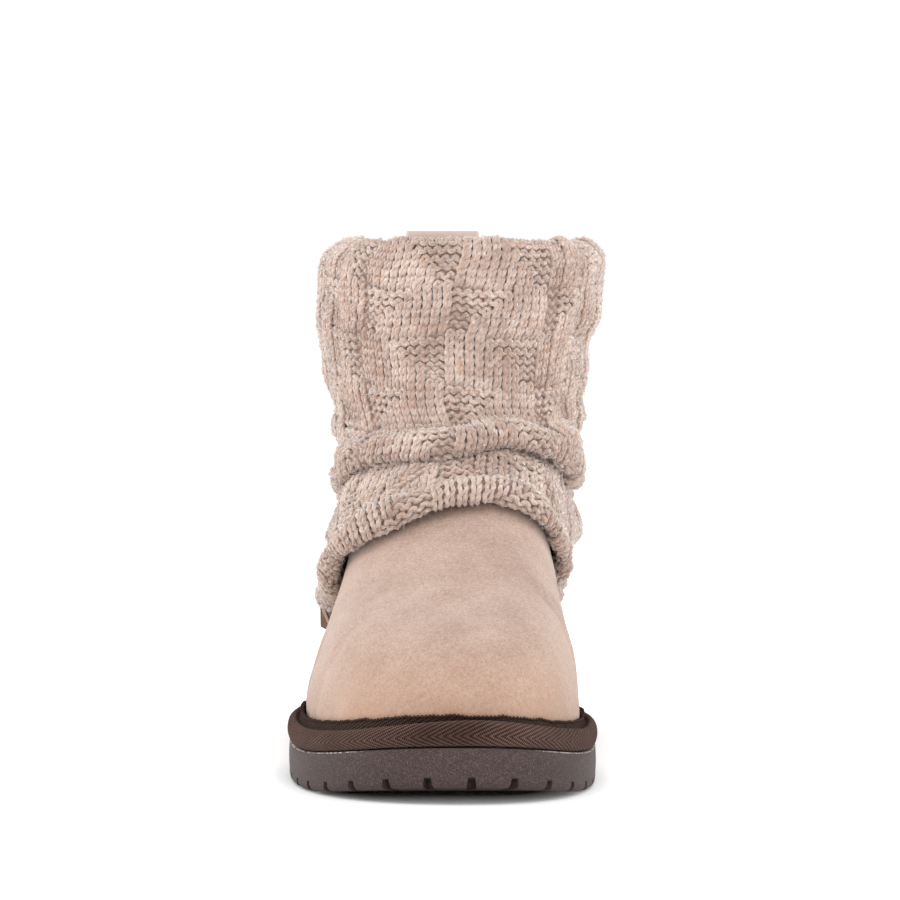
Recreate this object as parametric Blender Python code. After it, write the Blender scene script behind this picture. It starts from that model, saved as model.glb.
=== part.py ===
"""Slouch-knit ankle boot for the right foot, standing empty on its sole.

Metres, +Z up. The toe points to -Y and the inner (big toe) side is +X. Everything is worked out
in last coordinates first, where y runs from 0 at the toe tip of the sole back to the heel, and
the finished boot is then moved so that the origin is under the middle of its box, on the floor.
"""

import math
from typing import NamedTuple

import bmesh
import bpy
import numpy as np

# Driving dimensions of the sole
SOLE_LENGTH = 0.268
FORE_THICKNESS = 0.0130
HEEL_THICKNESS = 0.0180
THICKER_FROM, THICKER_TO = 0.095, 0.190
TOE_SPRING = 0.0062
SPRING_START = 0.056
HEEL_BEVEL = 0.0020
BEVEL_LENGTH = 0.014
ARCH_RISE = 0.0020
ARCH_FROM, ARCH_TO = 0.118, 0.186
EDGE_ROUND = 0.0020
SOLE_MARGIN = 0.0056
SOLE_POINTS = 88

# Lugs of the sole's edge and the bars of its tread
EDGE_NOTCHES = 44
FIRST_NOTCH = 0.16
NOTCH_DEPTH = 0.0032
NOTCH_REACH = 0.0095
NOTCH_TOP, NOTCH_MOUTH = 0.0028, 0.0044
GROOVE_DEPTH = 0.0024
GROOVE_WIDTH = 0.0042
GROOVE_MARGIN = 0.0150
FORE_GROOVES = (0.032, 0.110, 7)
HEEL_GROOVES = (0.200, 0.244, 4)

# Walls, clearances and mesh density
FIT_GAP = 0.0003
OUTLINE_SAMPLES = 400
UPPER_WALL = 0.0030
UPPER_RINGS = 21
UPPER_POINTS = 44
INSOLE_THICKNESS = 0.0050
INSOLE_CLEARANCE = 0.0007
BAND_POINTS = 60

# Knitted cuff: the heights of its top edge, of the fold it slouches into and of its hem
COLLAR_FRONT, COLLAR_BACK = 0.1785, 0.1715
FOLD_FRONT, FOLD_OUTER, FOLD_INNER, FOLD_BACK = 0.1050, 0.0895, 0.0920, 0.0930
HEM_OUTER, HEM_INNER = 0.0500, 0.0540
HEM_RISE = 0.0366
HEM_PEAK_ANGLE = math.radians(5)
HEM_SPAN_OUTER, HEM_SPAN_INNER = math.radians(64), math.radians(40)
HEM_LEAN = 0.08
HEM_FLAT = 0.16
FOLD_LEAN = 0.10
CUFF_COLUMNS = 72
CUFF_CLEARANCE = 0.0021
CUFF_INNER_ROWS = 9
STEEPEST_SLANT = 1.35
CUFF_SET_DOWN = 0.0005
SHAFT_AXIS = (0.0035, 0.205)

# Pull loop inside the back of the collar, and the leather tab under the hem
LOOP_WIDTH = 0.0262
LOOP_CENTRE = -0.0040
LOOP_STRAP = 0.0016
LOOP_RISE = 0.0060
LOOP_TAIL = 0.022
LOOP_GAP = 0.0030
TAB_WIDTH = 0.020
TAB_STRAP = 0.0014
TAB_DROP = 0.0095
TAB_OPEN = 0.0030
TAB_ANGLE = math.radians(-88)


class Section(NamedTuple):
    """One closed loop round the last, in metres. "in" is the big toe side, +x, and "out" the other.

    It runs from a front point to a back point. The nose and the heel round are the lengths of its
    two ends, which are superellipses; the power is the nose's. Each side has its x where the nose
    ends, at the waist and where the heel round starts. The ridge is the x of the front point, and
    follow says how much of the deck's spring and step the loop takes on.
    """

    front_y: float
    front_z: float
    back_y: float
    back_z: float
    nose_in: float
    nose_out: float
    heel_round: float
    power: float
    fore_in: float
    fore_out: float
    waist_in: float
    waist_out: float
    heel_in: float
    heel_out: float
    ridge: float
    follow: float


def ease(t):
    """Smooth step from 0 to 1."""
    t = np.clip(t, 0.0, 1.0)
    return t * t * (3 - 2 * t)


def sole_floor(y):
    """Height of the tread: flat under heel and ball, up at the toe, the arch and the heel's edge."""
    toe = TOE_SPRING * np.clip((SPRING_START - y) / SPRING_START, 0, 1) ** 2
    heel = HEEL_BEVEL * np.clip((y - SOLE_LENGTH + BEVEL_LENGTH) / BEVEL_LENGTH, 0, 1) ** 2
    along = np.clip((y - ARCH_FROM) / (ARCH_TO - ARCH_FROM), 0, 1)
    return toe + heel + ARCH_RISE * np.sin(math.pi * along) ** 2


def sole_deck(y):
    """Height of the sole's top face, on which upper, insole and binding stand."""
    toe = TOE_SPRING * np.clip((SPRING_START - y) / SPRING_START, 0, 1) ** 2
    thicker = ease((y - THICKER_FROM) / (THICKER_TO - THICKER_FROM))
    return toe + FORE_THICKNESS + (HEEL_THICKNESS - FORE_THICKNESS) * thicker


FEATHER_FRONT = SOLE_MARGIN
FEATHER_BACK = SOLE_LENGTH - SOLE_MARGIN
# fmt: off
LAST = [
    # feather line, where the upper meets the sole
    Section(FEATHER_FRONT, sole_deck(FEATHER_FRONT) + FIT_GAP, FEATHER_BACK, HEEL_THICKNESS + FIT_GAP,
            .072, .090, .036, 2.50, .0420, -.0499, .0290, -.0360, .0330, -.0330, .0035, 1.0),
    # upright wall above the binding
    Section(.0054, .0300, .2632, .0320, .072, .090, .037, 2.50,
            .0422, -.0494, .0295, -.0362, .0338, -.0338, .0035, .7),
    # turn of the toe
    Section(.0088, .0410, .2640, .0440, .072, .090, .038, 2.45,
            .0408, -.0460, .0298, -.0358, .0342, -.0340, .0040, .4),
    # top of the toe box
    Section(.0240, .0525, .2642, .0550, .070, .087, .038, 2.35,
            .0374, -.0414, .0305, -.0352, .0344, -.0342, .0060, .15),
    # low vamp
    Section(.0560, .0635, .2636, .0660, .068, .080, .039, 2.20,
            .0350, -.0374, .0322, -.0348, .0346, -.0340, .0085, 0),
    # middle of the vamp
    Section(.0900, .0760, .2624, .0770, .056, .064, .041, 2.10,
            .0325, -.0350, .0335, -.0346, .0350, -.0338, .0105, 0),
    # instep
    Section(.1200, .0900, .2604, .0900, .048, .053, .044, 2.05,
            .0335, -.0342, .0352, -.0340, .0358, -.0334, .0100, 0),
    # bend of the ankle
    Section(.1405, .1060, .2586, .1060, .050, .050, .048, 2.00,
            .0368, -.0344, .0370, -.0344, .0366, -.0340, .0065, 0),
    # ankle
    Section(.1500, .1260, .2582, .1260, .052, .052, .051, 2.00,
            .0390, -.0377, .0390, -.0377, .0388, -.0375, .0030, 0),
    # shaft
    Section(.1520, .1510, .2588, .1500, .053, .053, .053, 2.00,
            .0448, -.0408, .0448, -.0408, .0448, -.0408, .0035, 0),
    # collar
    Section(.1505, COLLAR_FRONT, .2610, COLLAR_BACK, .055, .055, .055, 2.00,
            .0480, -.0412, .0480, -.0412, .0480, -.0412, .0045, 0),
]
# fmt: on
TOP_LEVEL = len(LAST) - 1


def section_at(level):
    """The last's section at a level between two rows of the table, on a smooth curve through them."""
    rows = np.array(LAST)
    k = min(int(level), TOP_LEVEL - 1)
    t = level - k
    before, a, b, after = rows[max(k - 1, 0)], rows[k], rows[k + 1], rows[min(k + 2, TOP_LEVEL)]
    tangent_a, tangent_b = (b - before) / 2, (after - a) / 2
    if k == 0:
        tangent_a = b - a
    if k == TOP_LEVEL - 1:
        tangent_b = b - a
    held = (2 * t**3 - 3 * t**2 + 1) * a + (3 * t**2 - 2 * t**3) * b
    return Section(*(held + (t**3 - 2 * t**2 + t) * tangent_a + (t**3 - t**2) * tangent_b))


def rounded_end(distance, length, power):
    """Share of the full width at a distance from an end that is a superellipse of that length."""
    left = np.clip(1 - distance / length, 0, 1)
    return (1 - left**power) ** (1 / power)


def half_outline(s, nose, fore, waist, heel):
    """Points of one side of a section, from its front to its back."""
    angle = np.linspace(0, math.pi, OUTLINE_SAMPLES)
    y = s.front_y + (s.back_y - s.front_y) * (1 - np.cos(angle)) / 2
    nose_end, heel_start = s.front_y + nose, s.back_y - s.heel_round
    middle = (nose_end + heel_start) / 2
    to_waist = ease((y - nose_end) / max(middle - nose_end, 1e-6))
    to_heel = ease((y - middle) / max(heel_start - middle, 1e-6))
    width = fore + (waist - fore) * to_waist + (heel - waist) * to_heel
    end = np.where(y < middle, s.ridge, (s.heel_in + s.heel_out) / 2)
    share = rounded_end(y - s.front_y, nose, s.power) * rounded_end(s.back_y - y, s.heel_round, 2.2)
    along = (y - s.front_y) / (s.back_y - s.front_y)
    deck_line = sole_deck(s.front_y) + (sole_deck(s.back_y) - sole_deck(s.front_y)) * along
    z = s.front_z + (s.back_z - s.front_z) * along + s.follow * (sole_deck(y) - deck_line)
    return np.stack([end + (width - end) * share, y, z], axis=1)


def spaced(points, count):
    """The polyline at count + 1 points spaced evenly along it."""
    run = np.concatenate([[0], np.cumsum(np.linalg.norm(np.diff(points, axis=0), axis=1))])
    wanted = np.linspace(0, run[-1], count + 1)
    return np.stack([np.interp(wanted, run, points[:, k]) for k in range(3)], axis=1)


def loop_of(s, count):
    """The section as a closed loop: from the front along the inner side to the heel, and back."""
    inner = spaced(half_outline(s, s.nose_in, s.fore_in, s.waist_in, s.heel_in), count // 2)
    outer = spaced(half_outline(s, s.nose_out, s.fore_out, s.waist_out, s.heel_out), count // 2)
    return np.concatenate([inner, outer[1:-1][::-1]])


def flat_normals(loop):
    """Unit vectors that point out of a closed loop, level with the floor."""
    along = np.roll(loop, -1, axis=0) - np.roll(loop, 1, axis=0)
    out = np.stack([along[:, 1], -along[:, 0], np.zeros(len(loop))], axis=1)
    out /= np.linalg.norm(out, axis=1)[:, None]
    return out * np.sign(np.sum(out * (loop - loop.mean(axis=0))))


def widened(loop, distance):
    """The loop moved outwards by a distance, level with the floor."""
    return loop + flat_normals(loop) * distance


def at_height(loop, height_of, lift=0.0):
    """The loop laid at the height that a function of y gives."""
    return np.column_stack([loop[:, :2], height_of(loop[:, 1]) + lift])


def plain_material(name, colour, roughness):
    """A Principled BSDF of one colour."""
    made = bpy.data.materials.new(name)
    made.use_nodes = True
    shader = made.node_tree.nodes["Principled BSDF"]
    shader.inputs["Base Color"].default_value = (*colour, 1)
    shader.inputs["Roughness"].default_value = roughness
    shader.inputs["Metallic"].default_value = 0.0
    return made


def new_object(name, points, faces, material):
    """A mesh object with its faces turned outwards."""
    mesh = bpy.data.meshes.new(name)
    mesh.from_pydata([tuple(p) for p in points], [], faces)
    work = bmesh.new()
    work.from_mesh(mesh)
    bmesh.ops.recalc_face_normals(work, faces=work.faces)
    work.to_mesh(mesh)
    work.free()
    if material:
        mesh.materials.append(material)
    made = bpy.data.objects.new(name, mesh)
    bpy.context.scene.collection.objects.link(made)
    mesh.shade_smooth()
    mesh.set_sharp_from_angle(angle=math.radians(35))
    return made


def ladder(first, count):
    """Faces that close a loop by joining each point to the one across it."""
    half = count // 2
    rungs = [(k, k + 1, count - k - 1, (count - k) % count) for k in range(half)]
    return [tuple(first + k for k in dict.fromkeys(rung)) for rung in rungs]


def loft(loops, close_ends=True, close_round=False):
    """Points and faces of a skin through loops, with its ends closed or joined to each other."""
    count = len(loops[0])
    faces = []
    spans = len(loops) if close_round else len(loops) - 1
    for i in range(spans):
        a, b = i * count, ((i + 1) % len(loops)) * count
        for k in range(count):
            after = (k + 1) % count
            faces.append((a + k, a + after, b + after, b + k))
    if close_ends and not close_round:
        faces += ladder(0, count)
        faces += ladder((len(loops) - 1) * count, count)
    return np.concatenate(loops), faces


def sole_edge(count):
    """Outline of the sole: the feather line moved out by the sole's margin."""
    return widened(loop_of(LAST[0], count), SOLE_MARGIN)


def prism(points, faces, ring):
    """Adds a closed prism of two rings of four points each to a list of points and faces."""
    first = len(points)
    points.extend(ring)
    sides = [(0, 1, 2, 3), (7, 6, 5, 4), (0, 4, 5, 1), (1, 5, 6, 2), (2, 6, 7, 3), (3, 7, 4, 0)]
    faces.extend(tuple(first + k for k in side) for side in sides)


def slot_ring(centre, across, half_mouth, half_top, bottom, top):
    """Four corners of a slot's section at a point, wider at its mouth on the floor."""
    low, high = np.array([0, 0, bottom]), np.array([0, 0, top])
    base = np.array([centre[0], centre[1], 0.0])
    return [
        base - across * half_mouth + low,
        base + across * half_mouth + low,
        base + across * half_top + high,
        base - across * half_top + high,
    ]


def tread_cutter():
    """The notches round the sole's edge and the grooves across its tread, as one cutter."""
    edge = sole_edge(720)
    out = flat_normals(edge)
    points, faces = [], []
    below = -0.004
    for k in range(EDGE_NOTCHES):
        at = round((k + FIRST_NOTCH) * len(edge) / EDGE_NOTCHES)
        across = np.array([-out[at][1], out[at][0], 0.0])
        roof = float(sole_floor(edge[at][1])) + NOTCH_DEPTH
        ring = []
        for reach in (-NOTCH_REACH, 0.002):
            centre = edge[at] + out[at] * reach
            ring += slot_ring(centre, across, NOTCH_MOUTH / 2, NOTCH_TOP / 2, below, roof)
        prism(points, faces, ring)
    for start, stop, count in (FORE_GROOVES, HEEL_GROOVES):
        for y in np.linspace(start, stop, count):
            near = np.abs(edge[:, 1] - y)
            inner = edge[np.argmin(near + (edge[:, 0] < 0))][0] - GROOVE_MARGIN
            outer = edge[np.argmin(near + (edge[:, 0] > 0))][0] + GROOVE_MARGIN
            roof = float(sole_floor(y)) + GROOVE_DEPTH
            across = np.array([0.0, 1.0, 0.0])
            ring = []
            for x in (outer, inner):
                half = GROOVE_WIDTH / 2
                ring += slot_ring((x, y), across, half, half * 0.7, below, roof)
            prism(points, faces, ring)
    cutter = new_object("tread_cutter", points, faces, None)
    cutter.hide_render = True
    cutter.display_type = "WIRE"
    return cutter


def make_outsole():
    """Moulded foam sole: spring at the toe, arch, thicker heel, rounded lower edge, cut lugs."""
    edge = sole_edge(SOLE_POINTS)
    loops = [at_height(widened(edge, -EDGE_ROUND), sole_floor)]
    for share in (0.45, 1.0):
        turn = share * math.pi / 2
        ring = widened(edge, -EDGE_ROUND * (1 - math.sin(turn)))
        loops.append(at_height(ring, sole_floor, EDGE_ROUND * (1 - math.cos(turn))))
    loops.append(at_height(edge, sole_deck))
    points, faces = loft(loops)
    sole = new_object("outsole", points, faces, plain_material("sole_foam", (0.075, 0.055, 0.052), 0.75))
    cut = sole.modifiers.new("lugs", "BOOLEAN")
    cut.operation = "DIFFERENCE"
    cut.solver = "EXACT"
    cut.object = tread_cutter()
    return sole


# Section of the binding: distance out from the sole's edge, and height over the deck
BAND_PROFILE = [
    (-0.0010, FIT_GAP),
    (0.0001, 0.0014),
    (0.0004, 0.0040),
    (-0.0001, 0.0065),
    (-0.0013, 0.0078),
    (-0.0028, 0.0070),
    (-0.0036, 0.0080),
    (-0.0040, 0.0094),
    (-0.0044, 0.0080),
    (-0.0046, FIT_GAP),
]


def make_sole_binding():
    """Woven tape wrapped over a padded rand, standing on the sole's rim all round the upper."""
    edge = sole_edge(BAND_POINTS)
    loops = [at_height(widened(edge, out), sole_deck, up) for out, up in BAND_PROFILE]
    points, faces = loft(loops, close_round=True)
    return new_object("sole_binding", points, faces, plain_material("binding_tape", (0.052, 0.031, 0.026), 0.9))


def grid_normals(grid):
    """Unit normals of a grid of rings, pointing out of it."""
    round_it = np.roll(grid, -1, axis=1) - np.roll(grid, 1, axis=1)
    up_it = np.gradient(grid, axis=0)
    normal = np.cross(round_it, up_it)
    normal /= np.linalg.norm(normal, axis=2)[:, :, None]
    away = grid - grid.mean(axis=1)[:, None, :]
    return normal * np.sign(np.sum(normal * away))


def upper_grid(rings, count):
    """The upper's outer surface as rings from the feather line to the collar."""
    return np.array([loop_of(section_at(level), count) for level in np.linspace(0, TOP_LEVEL, rings)])


def make_upper():
    """Suede vamp and shaft with its lining, one wall, open at the collar and underneath."""
    outer = upper_grid(UPPER_RINGS, UPPER_POINTS)
    inward = grid_normals(outer)
    for end in (0, -1):
        inward[end] = flat_normals(outer[end])
    inner = outer - inward * UPPER_WALL
    loops = list(outer) + list(inner[::-1])
    points, faces = loft(loops, close_round=True)
    return new_object("upper", points, faces, plain_material("suede", (0.62, 0.44, 0.36), 0.95))


def make_insole():
    """Footbed that fills the floor of the upper."""
    edge = widened(loop_of(LAST[0], UPPER_POINTS), -UPPER_WALL - INSOLE_CLEARANCE)
    loops = [at_height(edge, sole_deck, FIT_GAP), at_height(edge, sole_deck, INSOLE_THICKNESS)]
    points, faces = loft(loops)
    return new_object("insole", points, faces, plain_material("fleece", (0.70, 0.58, 0.50), 1.0))


class Meridians:
    """The upper's outer surface seen from the shaft's axis: radius by angle and height.

    The angle is 0 towards the toe and grows towards the inner side.
    """

    def __init__(self, angles):
        axis = np.array(SHAFT_AXIS)
        step = math.radians(3)
        radius, height, slant = [], [], []
        for loop in upper_grid(UPPER_RINGS, UPPER_POINTS)[2:]:
            arm = loop[:, :2] - axis
            turn = np.arctan2(arm[:, 0], -arm[:, 1])
            order = np.argsort(turn)
            far = np.linalg.norm(arm, axis=1)[order]
            before, here, after = (
                np.interp(angles + turned, turn[order], far, period=2 * math.pi) for turned in (-step, 0, step)
            )
            radius.append(here)
            slant.append(np.hypot(1, (after - before) / (2 * step) / here))
            height.append(np.interp(angles, turn[order], loop[order, 2], period=2 * math.pi))
        self.radius, self.height = np.array(radius), np.array(height)
        self.slant = np.clip(slant, 1, STEEPEST_SLANT)

    def column(self, k, low):
        """Points (radius, height, slant) of one meridian from a height to the collar, 1 mm apart.

        The slant is how much further a distance out of the surface reaches along the meridian.
        """
        z = np.arange(low, self.height[-1, k] + 0.0005, 0.001)
        read = [np.interp(z, self.height[:, k], row[:, k]) for row in (self.radius, self.slant)]
        return np.stack([read[0], z, read[1]], axis=1)


def hem_height(angle):
    """The hem: level at the sides and back, and arched over the instep."""
    level = (HEM_INNER + HEM_OUTER) / 2 + (HEM_INNER - HEM_OUTER) / 2 * math.sin(angle)
    off = (angle - HEM_PEAK_ANGLE + math.pi) % (2 * math.pi) - math.pi
    share = off / (HEM_SPAN_INNER if off > 0 else HEM_SPAN_OUTER)
    return level + (HEM_RISE * math.cos(share * math.pi / 2) ** 2 if abs(share) < 1 else 0)


def fold_height(angle):
    """The crease under the slouched fold: highest over the instep, lowest on the outer side."""
    front, side = (FOLD_FRONT, FOLD_INNER if angle > 0 else FOLD_OUTER)
    if abs(angle) > math.pi / 2:
        front = FOLD_BACK
    return side + (front - side) * math.cos(angle) ** 2


class Row(NamedTuple):
    """One row of the cuff: a line it is measured from, the share of the way to the next line,
    the distance on from there along the surface, and the distance out from the upper."""

    line: str
    share: float
    along: float
    out: float


CUFF_LINES = ("hem", "fold", "top")
# The cuff from inside its hem, over the hem roll and the fold, to inside its top edge
CUFF_PROFILE = [
    Row("hem", 0.00, 0.0070, CUFF_CLEARANCE),
    Row("hem", 0.00, 0.0008, 0.0022),
    Row("hem", 0.00, -0.0018, 0.0052),
    Row("hem", 0.00, 0.0005, 0.0090),
    Row("hem", 0.00, 0.0055, 0.0112),
    Row("hem", 0.45, 0.0000, 0.0098),
    Row("hem", 0.80, 0.0000, 0.0072),
    Row("fold", 0.00, 0.0000, 0.0066),
    Row("fold", 0.00, -0.0026, 0.0082),
    Row("fold", 0.00, 0.0022, 0.0102),
    Row("fold", 0.00, 0.0090, 0.0102),
    Row("fold", 0.25, 0.0000, 0.0082),
    Row("fold", 0.42, 0.0000, 0.0070),
    Row("fold", 0.62, 0.0000, 0.0066),
    Row("fold", 0.82, 0.0000, 0.0068),
    Row("top", 0.00, -0.0050, 0.0072),
    Row("top", 0.00, 0.0005, 0.0062),
    Row("top", 0.00, 0.0025, 0.0036),
    Row("top", 0.00, 0.0005, CUFF_CLEARANCE),
]


def cuff_columns(angles):
    """Points of the cuff's profile at each angle, stood off the upper along its normals."""
    surface = Meridians(angles)
    columns = []
    for k, angle in enumerate(angles):
        hem, fold = hem_height(angle), fold_height(angle)
        run_of = surface.column(k, hem - 0.012)
        run_of, slant = run_of[:, :2], run_of[:, 2]
        run = np.concatenate([[0], np.cumsum(np.linalg.norm(np.diff(run_of, axis=0), axis=1))])
        marks = [np.interp(z, run_of[:, 1], run) for z in (hem, fold)] + [run[-1] - CUFF_SET_DOWN]
        slope = np.gradient(run_of, axis=0)
        slope /= np.linalg.norm(slope, axis=1)[:, None]
        hem_bulge = 1 - HEM_LEAN * math.sin(angle) - HEM_FLAT * max(0, math.cos(angle)) ** 2
        bulge = {"hem": hem_bulge, "fold": 1 + FOLD_LEAN * math.sin(angle), "top": 1}
        profile = []
        for row in CUFF_PROFILE:
            start = CUFF_LINES.index(row.line)
            after = marks[min(start + 1, len(marks) - 1)]
            out = max(row.out * bulge[row.line], CUFF_CLEARANCE)
            profile.append((marks[start] + row.share * (after - marks[start]) + row.along, out))
        inside = np.linspace(profile[-1][0], profile[0][0], CUFF_INNER_ROWS + 2)[1:-1]
        profile += [(at, CUFF_CLEARANCE) for at in inside]
        column = []
        for at, out in profile:
            spot = np.array([np.interp(at, run, run_of[:, 0]), np.interp(at, run, run_of[:, 1])])
            spot[1] += max(0.0, at - run[-1])
            rise = np.array([np.interp(at, run, slope[:, 0]), np.interp(at, run, slope[:, 1])])
            spot += np.array([rise[1], -rise[0]]) * out * np.interp(at, run, slant)
            x = SHAFT_AXIS[0] + spot[0] * math.sin(angle)
            y = SHAFT_AXIS[1] - spot[0] * math.cos(angle)
            column.append((x, y, spot[1]))
        columns.append(column)
    return np.array(columns)


def make_knit_cuff():
    """Chunky knitted sleeve round the shaft, slouched into one fold over its rolled hem."""
    angles = np.linspace(-math.pi, math.pi, CUFF_COLUMNS, endpoint=False)
    points, faces = loft(list(cuff_columns(angles)), close_round=True)
    return new_object("knit_cuff", points, faces, plain_material("wool_knit", (0.50, 0.37, 0.31), 1.0))


def strap(path, thickness):
    """Outline of a strap of that thickness along a path of points (across, up)."""
    along = np.gradient(path, axis=0)
    side = np.stack([along[:, 1], -along[:, 0]], axis=1)
    side /= np.linalg.norm(side, axis=1)[:, None]
    return np.concatenate([path + side * thickness / 2, (path - side * thickness / 2)[::-1]])


def rear_wall(x, z):
    """Last y of the upper's inner wall behind the shaft, between its two top sections."""
    found = []
    for s in LAST[-2:]:
        loop = widened(loop_of(s, 400), -UPPER_WALL)
        rear = loop[loop[:, 1] > SHAFT_AXIS[1]]
        rear = rear[np.argsort(rear[:, 0])]
        found.append(np.interp(x, rear[:, 0], rear[:, 1]))
    share = (z - LAST[-2].back_z) / (LAST[-1].back_z - LAST[-2].back_z)
    return found[0] + (found[1] - found[0]) * share


def make_pull_loop():
    """Suede strap folded into a flat loop and sewn inside the back of the collar."""
    low, shoulder = COLLAR_BACK - LOOP_TAIL, COLLAR_BACK - 0.002
    crest = COLLAR_BACK + LOOP_RISE - LOOP_STRAP / 2
    half_tail = LOOP_STRAP / 2 + FIT_GAP
    half_loop = (LOOP_GAP + LOOP_STRAP) / 2
    turn = np.linspace(0, math.pi, 9)
    over = np.stack([half_loop * np.cos(turn), crest - half_loop * (1 - np.sin(turn))], axis=1)
    legs = [(half_tail, low), (half_tail, shoulder)]
    path = np.array(legs + [tuple(p) for p in over] + [(-x, z) for x, z in legs[::-1]])
    outline = strap(path, LOOP_STRAP)
    rear_most = outline[:, 0].max()
    loops = []
    for x in np.linspace(LOOP_CENTRE - LOOP_WIDTH / 2, LOOP_CENTRE + LOOP_WIDTH / 2, 7):
        loops.append(np.array([(x, rear_wall(x, up) - rear_most + across, up) for across, up in outline]))
    points, faces = loft(loops)
    return new_object("pull_loop", points, faces, plain_material("suede_trim", (0.60, 0.44, 0.36), 0.9))


def make_hem_tab():
    """Small leather strip folded into a loop under the hem on the outer side."""
    columns = cuff_columns(np.array([TAB_ANGLE - 0.2, TAB_ANGLE, TAB_ANGLE + 0.2]))
    lip = columns[1][2:4].mean(axis=0)
    underside = columns[:, :5, 2].min() - FIT_GAP
    half = (TAB_OPEN + TAB_STRAP) / 2
    bottom = underside - TAB_DROP + TAB_STRAP / 2
    turn = np.linspace(0, math.pi, 7)
    under = [(half * math.cos(t), bottom + half * (1 - math.sin(t))) for t in turn]
    path = np.array([(half * 0.6, underside)] + under + [(-half * 0.6, underside)])
    outline = strap(path, TAB_STRAP)
    loops = []
    for y in (lip[1] - TAB_WIDTH / 2, lip[1] + TAB_WIDTH / 2):
        loops.append(np.array([(lip[0] + across, y, up) for across, up in outline]))
    points, faces = loft(loops)
    return new_object("hem_tab", points, faces, plain_material("tan_leather", (0.20, 0.11, 0.07), 0.55))


def centre_on_floor(objects):
    """Moves the boot so that the origin lies under the middle of its box."""
    corners = np.array([p.co for made in objects for p in made.data.vertices])
    middle = (corners.min(axis=0) + corners.max(axis=0)) / 2
    for made in objects:
        for point in made.data.vertices:
            point.co.x -= middle[0]
            point.co.y -= middle[1]


def main():
    for old in list(bpy.data.objects):
        bpy.data.objects.remove(old, do_unlink=True)
    make_outsole()
    make_sole_binding()
    make_insole()
    make_upper()
    make_knit_cuff()
    make_pull_loop()
    make_hem_tab()
    centre_on_floor([made for made in bpy.data.objects if made.type == "MESH"])


main()
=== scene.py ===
# %% [markdown]
# # A slouch-knit ankle boot
#
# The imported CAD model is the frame: it says where every piece of the boot sits, in metres, with the
# toe towards -Y and the big toe side at +X. This lesson dresses that frame. Most pieces are surfaces
# worked out with numpy and put into a mesh in one go, and every finish is a node material.

# %% Load the frame and note its box
import math
from typing import NamedTuple

import bpy
import numpy as np
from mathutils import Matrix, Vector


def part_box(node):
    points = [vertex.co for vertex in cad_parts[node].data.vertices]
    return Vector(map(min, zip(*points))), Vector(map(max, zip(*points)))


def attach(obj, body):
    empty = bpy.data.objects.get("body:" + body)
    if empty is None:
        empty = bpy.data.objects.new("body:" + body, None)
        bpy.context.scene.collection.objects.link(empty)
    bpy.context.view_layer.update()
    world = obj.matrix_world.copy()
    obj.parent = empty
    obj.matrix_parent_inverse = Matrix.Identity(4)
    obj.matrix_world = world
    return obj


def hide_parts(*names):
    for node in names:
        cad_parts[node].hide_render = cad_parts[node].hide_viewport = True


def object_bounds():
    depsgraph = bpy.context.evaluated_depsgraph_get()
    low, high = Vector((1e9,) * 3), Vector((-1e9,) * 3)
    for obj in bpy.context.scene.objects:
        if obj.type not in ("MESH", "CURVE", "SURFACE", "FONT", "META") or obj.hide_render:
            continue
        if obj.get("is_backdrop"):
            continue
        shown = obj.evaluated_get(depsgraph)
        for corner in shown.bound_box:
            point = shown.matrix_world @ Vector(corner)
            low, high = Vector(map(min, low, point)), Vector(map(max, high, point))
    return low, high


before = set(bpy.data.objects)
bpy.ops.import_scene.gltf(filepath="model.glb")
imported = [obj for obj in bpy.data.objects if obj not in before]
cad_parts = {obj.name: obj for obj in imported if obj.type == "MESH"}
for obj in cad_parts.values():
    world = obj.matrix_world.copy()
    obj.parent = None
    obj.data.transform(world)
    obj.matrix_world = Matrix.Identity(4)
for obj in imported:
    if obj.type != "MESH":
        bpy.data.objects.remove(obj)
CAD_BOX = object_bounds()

print("CAD box", [[round(float(value), 4) for value in corner] for corner in CAD_BOX])

# %% [markdown]
# ## Helpers for nodes
#
# A material is a tree of nodes. Written out in full it takes a line for each node, each value and
# each link. The helpers here add one node with all its values at once and hand back its output, so
# that a recipe reads as a sum: a colour is the blend of two others by a mask.

# %% Node helpers


def add(tree, kind, inputs=(), **settings):
    """A node with some settings and some input values, by socket name or number."""
    made = tree.nodes.new(kind)
    for name, value in settings.items():
        setattr(made, name, value)
    for name, value in dict(inputs).items():
        if isinstance(value, bpy.types.NodeSocket):
            tree.links.new(value, made.inputs[name])
        else:
            made.inputs[name].default_value = value
    return made


def blend_colours(tree, factor, a, b):
    """Mix of two colours by a factor."""
    return add(tree, "ShaderNodeMix", {0: factor, 6: a, 7: b}, data_type="RGBA").outputs[2]


def calc(tree, operation, *values):
    """One Math node."""
    return add(tree, "ShaderNodeMath", dict(enumerate(values)), operation=operation).outputs[0]


def plus(tree, a, b):
    """Sum of two values."""
    return calc(tree, "ADD", a, b)


def times(tree, a, b):
    """Product of two values."""
    return calc(tree, "MULTIPLY", a, b)


def distance_from(tree, value, centre):
    """How far a value is from a centre, either way."""
    return calc(tree, "ABSOLUTE", calc(tree, "SUBTRACT", value, centre))


def wave(tree, place, period):
    """Sine that repeats every period of a place."""
    return calc(tree, "SINE", times(tree, place, 2 * math.pi / period))


def remap(tree, value, low, high, to_low=0.0, to_high=1.0):
    """Map Range from one span to another, clamped."""
    sockets = {"Value": value, "From Min": low, "From Max": high, "To Min": to_low, "To Max": to_high}
    return add(tree, "ShaderNodeMapRange", sockets).outputs["Result"]


def noise(tree, vector, scale, detail=2.0, roughness=0.5, distortion=0.0):
    """Height of a noise texture."""
    sockets = {"Vector": vector, "Scale": scale, "Detail": detail}
    sockets.update({"Roughness": roughness, "Distortion": distortion})
    return add(tree, "ShaderNodeTexNoise", sockets).outputs[0]


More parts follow.
